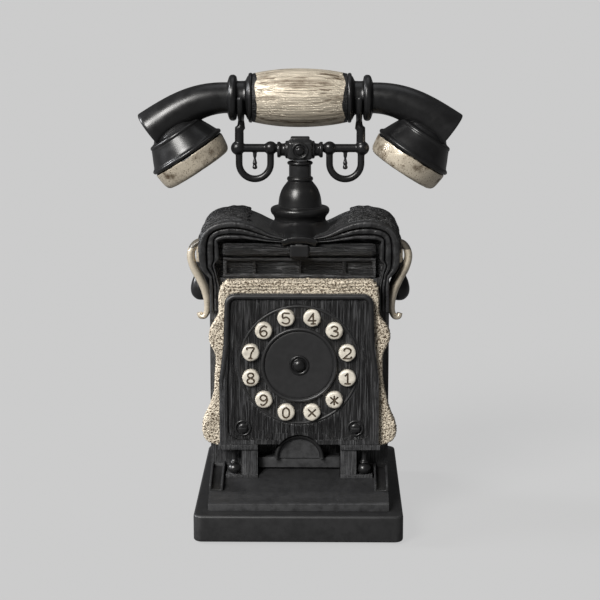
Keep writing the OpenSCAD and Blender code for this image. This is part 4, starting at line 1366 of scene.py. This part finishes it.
class PHONE_OT_stem(PhoneOperator, bpy.types.Operator):
    """Turned stem with its flared foot"""

    bl_idname = "phone.stem"
    bl_label = "Stem"

    def execute(self, context):
        top = span("stem")[1].z
        neck = flowing([(24, 199.0), (22.2, 201.2), (19.4, 203.8), (18.0, 206.2), (17.8, 208.4),
                        (18.8, 210.6)], 4)
        ring = flowing([(19.8, 211.6), (20.5, 213.4), (20.3, 215.0), (19.2, 216.1), (17.0, 216.5)], 4)
        bell = flowing([(15.2, 216.9), (15.0, 219), (14.3, 223.6), (12.5, 228.6), (10.0, 232.2),
                        (8.4, 234.2)], 4)
        collars = flowing([(8.9, 234.9), (9.1, 236.0), (8.6, 237.0), (7.6, 237.6), (7.4, 241), (7.5, 245),
                           (8.4, 245.8), (8.9, 246.8), (8.4, 247.7), (7.6, top)], 4)
        bore = span("cradle_post")[1].x + 0.06
        start = Vector((bore, 207.0))
        outer = [p for p in neck + ring + bell + collars if p.y > 207.2]
        profile = [start, *outer, Vector((bore, top)), start]
        settle("turned_stem", joined(turned(profile, 96), self.foot(bore)), "phone", "black_metal",
               "black smooth", node="stem", smooth=50)
        return {"FINISHED"}

    def foot(self, bore):
        """The flare under the neck, melted into a tongue that slides down to the hood's front edge."""
        flare = turned([Vector((bore, 197)), Vector((26, 197)), Vector((26, 200.4))]
                       + flowing([(26, 200.4), (22.6, 202.2), (19.6, 204.6), (18.0, 207.4)], 5)
                       + [Vector((bore, 207.4)), Vector((bore, 197))], 64)
        front = span("stem")[0].y
        brow = 0.6

        def slide(u, v):
            across = 2 * u - 1
            t = min(v / brow, 1.0)
            y = -15 + (front + 15) * t ** 1.15
            z = 199.0 + 7.6 * (1 - t) ** 2.1
            if v > brow:
                turned_under = (v - brow) / (1 - brow)
                y = front + 3.2 * turned_under ** 1.6
                z = 199.0 - 1.6 * turned_under
            half = 9.5 + 4.8 * v ** 1.6
            return Vector((half * across, y + (1.0 - math.cos(across)) * 2.5, z - 2.6 * abs(across) ** 2.4))

        tongue = skin(30, 30, slide, 2.2)
        return cast_as_one(joined(flare, tongue), 0.62, 7)


class PHONE_OT_cradle(PhoneOperator, bpy.types.Operator):
    """Cradle hub, cross bar, hooks, drops and forks"""

    bl_idname = "phone.cradle"
    bl_label = "Cradle"

    def execute(self, context):
        self.hub()
        fork_foot = 267
        for name, _ in SIDES:
            node = "cradle_arm_" + name
            bm = cast_as_one(copy_of(node), 0.42, 2)
            smoothed(bm, [v for v in bm.verts if v.co.z > fork_foot], 14)
            settle("cradle_fork_" + name, bm, "cradle", "black_metal", "black metal", node=node, smooth=180)
        return {"FINISHED"}

    def hub(self):
        """Rounded hub with collars, a capped top and a bolt at the front."""
        low, high = span("cradle_hub")
        core = block((-8.7, -8, low.z), (8.7, 8, high.z - 2.2), 2.4, 5)
        cap = block((-6.6, -6.2, high.z - 4), (6.6, 6.2, high.z), 1.0, 4)
        profile = flowing([(0, 3.0), (1.7, 2.8), (2.7, 1.9), (3.1, 0.9), (3.9, 0.8), (4.6, 1.5),
                           (5.5, 1.5), (6.0, 0.7), (6.1, -1.0)], 4) + [Vector((0, -1.0))]
        bolt = facing_front(turned(profile, 64), (0, -7.6, BAR_Z))
        collar = flowing([(0, 8), (5.7, 8.2), (6.1, 9), (5.9, 9.9), (4.6, 10.5), (4.3, 12.4), (4.7, 13.2),
                          (5.4, 13.9), (5.4, 15.2), (4.6, 15.8), (0, 15.8)], 4)
        collars = both_sides(lambda: facing_x(turned(collar, 48), (0, 0, BAR_Z)))
        settle("cradle_block", joined(core, cap, bolt, collars), "cradle", "black_metal", "black metal",
               node="cradle_hub")


# ---------- handset ----------

class PHONE_OT_handset(PhoneOperator, bpy.types.Operator):
    """Grip, ferrules, arms, cups and caps of the handset"""

    bl_idname = "phone.handset"
    bl_label = "Handset"

    def execute(self, context):
        self.grip()
        self.ferrules()
        for name, side in SIDES:
            self.arm(name, side)
        self.cup("receiver", -1)
        self.cup("transmitter", 1)
        return {"FINISHED"}

    def grip(self):
        """Barrel with brushed streaks."""
        rows, bore, end_radius = 48, 7, 16.7
        profile = [Vector((bore, -GRIP_X))]
        for i in range(rows + 1):
            share = 2 * i / rows - 1
            profile.append(Vector((GRIP_R - (GRIP_R - end_radius) * abs(share) ** 2.2, GRIP_X * share)))
        profile += [Vector((bore, GRIP_X)), Vector((bore, -GRIP_X))]
        bm = facing_x(turned(profile, 128), (0, 0, HANDSET_Z))

        def streaks(co, normal):
            around = math.atan2(co.y, co.z - HANDSET_Z)
            in_the_bore = math.hypot(co.y, co.z - HANDSET_Z) < 12
            if in_the_bore:
                return 0.0
            return -0.12 + 0.12 * noise.noise(Vector((co.x * 0.05, around * 9, 1)))

        settle("barrel_grip", carve(bm, streaks), "handset", "antique_silver", "silver grip",
               node="handset_grip")

    def ferrules(self):
        """Turned collar at each end of the grip, with a bead and a flange."""
        bead = flowing([(16.2, 32.7), (16.9, 33.2), (17.1, 34.2), (16.6, 35.2), (15.2, 35.6), (14.6, 36.2),
                        (13.2, 36.9), (11.8, 37.6)], 4)
        flange = flowing([(11.6, 38.2), (11.6, 42.9), (12.8, 43.4), (14.7, 43.9), (15.7, 45.2), (15.8, 46.4),
                          (15.5, 47.8), (14.3, 48.8), (12.6, 49.4), (10.9, 50.0)], 4)
        profile = [Vector((7, 32.7)), *bead, *flange, Vector((7, 50.0)), Vector((7, 32.7))]
        both = both_sides(lambda: facing_x(turned(profile, 96), (0, 0, HANDSET_Z)))
        settle("turned_ferrules", both, "handset", "black_lacquer", "black smooth", node="handset_ferrules")

    def arm(self, name, side):
        """Swept arm that widens to a flat cut end."""
        a, b, c, d = (Vector(p) for p in ((50, 0, HANDSET_Z), (72, 0, HANDSET_Z), (85.4, 0, 281.6),
                                          (103.4, 0, 267.9)))
        count = 30
        path, radii = [], []
        for i in range(count + 1):
            t = i / count
            path.append(a * (1 - t) ** 3 + b * 3 * t * (1 - t) ** 2 + c * 3 * t * t * (1 - t) + d * t ** 3)
            radii.append(10.6 + 4.4 * t ** 1.3)
        heading = (path[-1] - path[-2]).normalized()
        for back, radius in ((0.9, 0.15), (0.35, 0.45), (0.0, 1.0)):
            path.append(d - heading * back)
            radii.append(radii[count] - radius)
        del path[count], radii[count]
        bm = tube(path, radii, 48)
        if side < 0:
            mirrored(bm)
        settle("swept_arm_" + name, bm, "handset", "black_lacquer", "black smooth",
               node="handset_arm_" + name, smooth=50)

    def at_cup(self, bm, side):
        """Leans a lathe shape over and sets it under its arm."""
        moved(bm, Matrix.Translation(CUP_LIP) @ Matrix.Rotation(CUP_TILT, 4, "Y"))
        return bm if side > 0 else mirrored(bm)

    def cup(self, name, side):
        """A black bell with a silver ring under it."""
        shoulder = flowing([(13, 4.5), (15.0, 3.2), (16.4, 1.6), (18.2, 0.9), (19.6, 0.5), (20.3, -0.5),
                            (20.2, -1.7)], 4)
        flank = flowing([(20.6, -2.4), (21.4, -4.2), (23.5, -8.4), (25.5, -12.6), (26.3, -13.5),
                         (27.3, -14.2), (27.7, -15.2), (27.2, -16.3), (25.8, -16.9)], 4)
        inside = [Vector(p) for p in ((22.5, -16.9), (21, -10), (17, -3), (13, -2), (13, 4.5))]
        bell = turned(shoulder + flank + inside, 96)
        settle(name + "_bell", self.at_cup(bell, side), "handset", "black_lacquer", "black smooth",
               node=name + "_cup")
        rim = flowing([(25.6, -16.8), (26.7, -17.6), (26.8, -19.6), (26.4, -23.5), (25.8, -26.8),
                       (24.9, -29.0), (23.2, -30.3), (21.0, -30.5)], 4)
        face = [Vector(p) for p in ((12, -30.0), (0, -29.8), (0, -27.9), (21.4, -27.9), (23.4, -16.8))]
        bm = turned([face[-1], *rim, *face], 96)
        carve(bm, lambda co, n: 0.12 * noise.noise(co * 0.22 + Vector((side * 9, 0, 0))) - 0.1)
        settle(name + "_ring", self.at_cup(bm, side), "handset", "antique_silver", "silver cap",
               node=name + "_cap")


# ---------- panel in the sidebar and running ----------

class PHONE_PT_sidebar(bpy.types.Panel):
    """Lists the steps that build the telephone"""

    bl_label = "Cradle telephone"
    bl_idname = "PHONE_PT_sidebar"
    bl_space_type = "VIEW_3D"
    bl_region_type = "UI"
    bl_category = "Telephone"

    def draw(self, context):
        for step in STEPS:
            self.layout.operator(step.bl_idname)
        for settings in (context.scene.phone_finish, context.scene.phone_shape):
            for key in settings.__annotations__:
                self.layout.prop(settings, key)


STEPS = (PHONE_OT_stage, PHONE_OT_base, PHONE_OT_body, PHONE_OT_hood, PHONE_OT_surround, PHONE_OT_panel,
         PHONE_OT_keys, PHONE_OT_ornaments, PHONE_OT_stem, PHONE_OT_cradle, PHONE_OT_handset)
CLASSES = (PhoneFinish, PhoneShape) + STEPS + (PHONE_PT_sidebar,)


def register():
    for cls in CLASSES:
        bpy.utils.register_class(cls)
    bpy.types.Scene.phone_finish = bpy.props.PointerProperty(type=PhoneFinish)
    bpy.types.Scene.phone_shape = bpy.props.PointerProperty(type=PhoneShape)


def unregister():
    del bpy.types.Scene.phone_shape
    del bpy.types.Scene.phone_finish
    for cls in reversed(CLASSES):
        bpy.utils.unregister_class(cls)


def main():
    register()
    bpy.ops.phone.stage()
    bpy.ops.phone.base()
    bpy.ops.phone.body()
    bpy.ops.phone.hood()
    bpy.ops.phone.surround()
    bpy.ops.phone.panel()
    bpy.ops.phone.keys()
    bpy.ops.phone.ornaments()
    bpy.ops.phone.stem()
    bpy.ops.phone.cradle()
    bpy.ops.phone.handset()


if __name__ == "__main__":
    main()
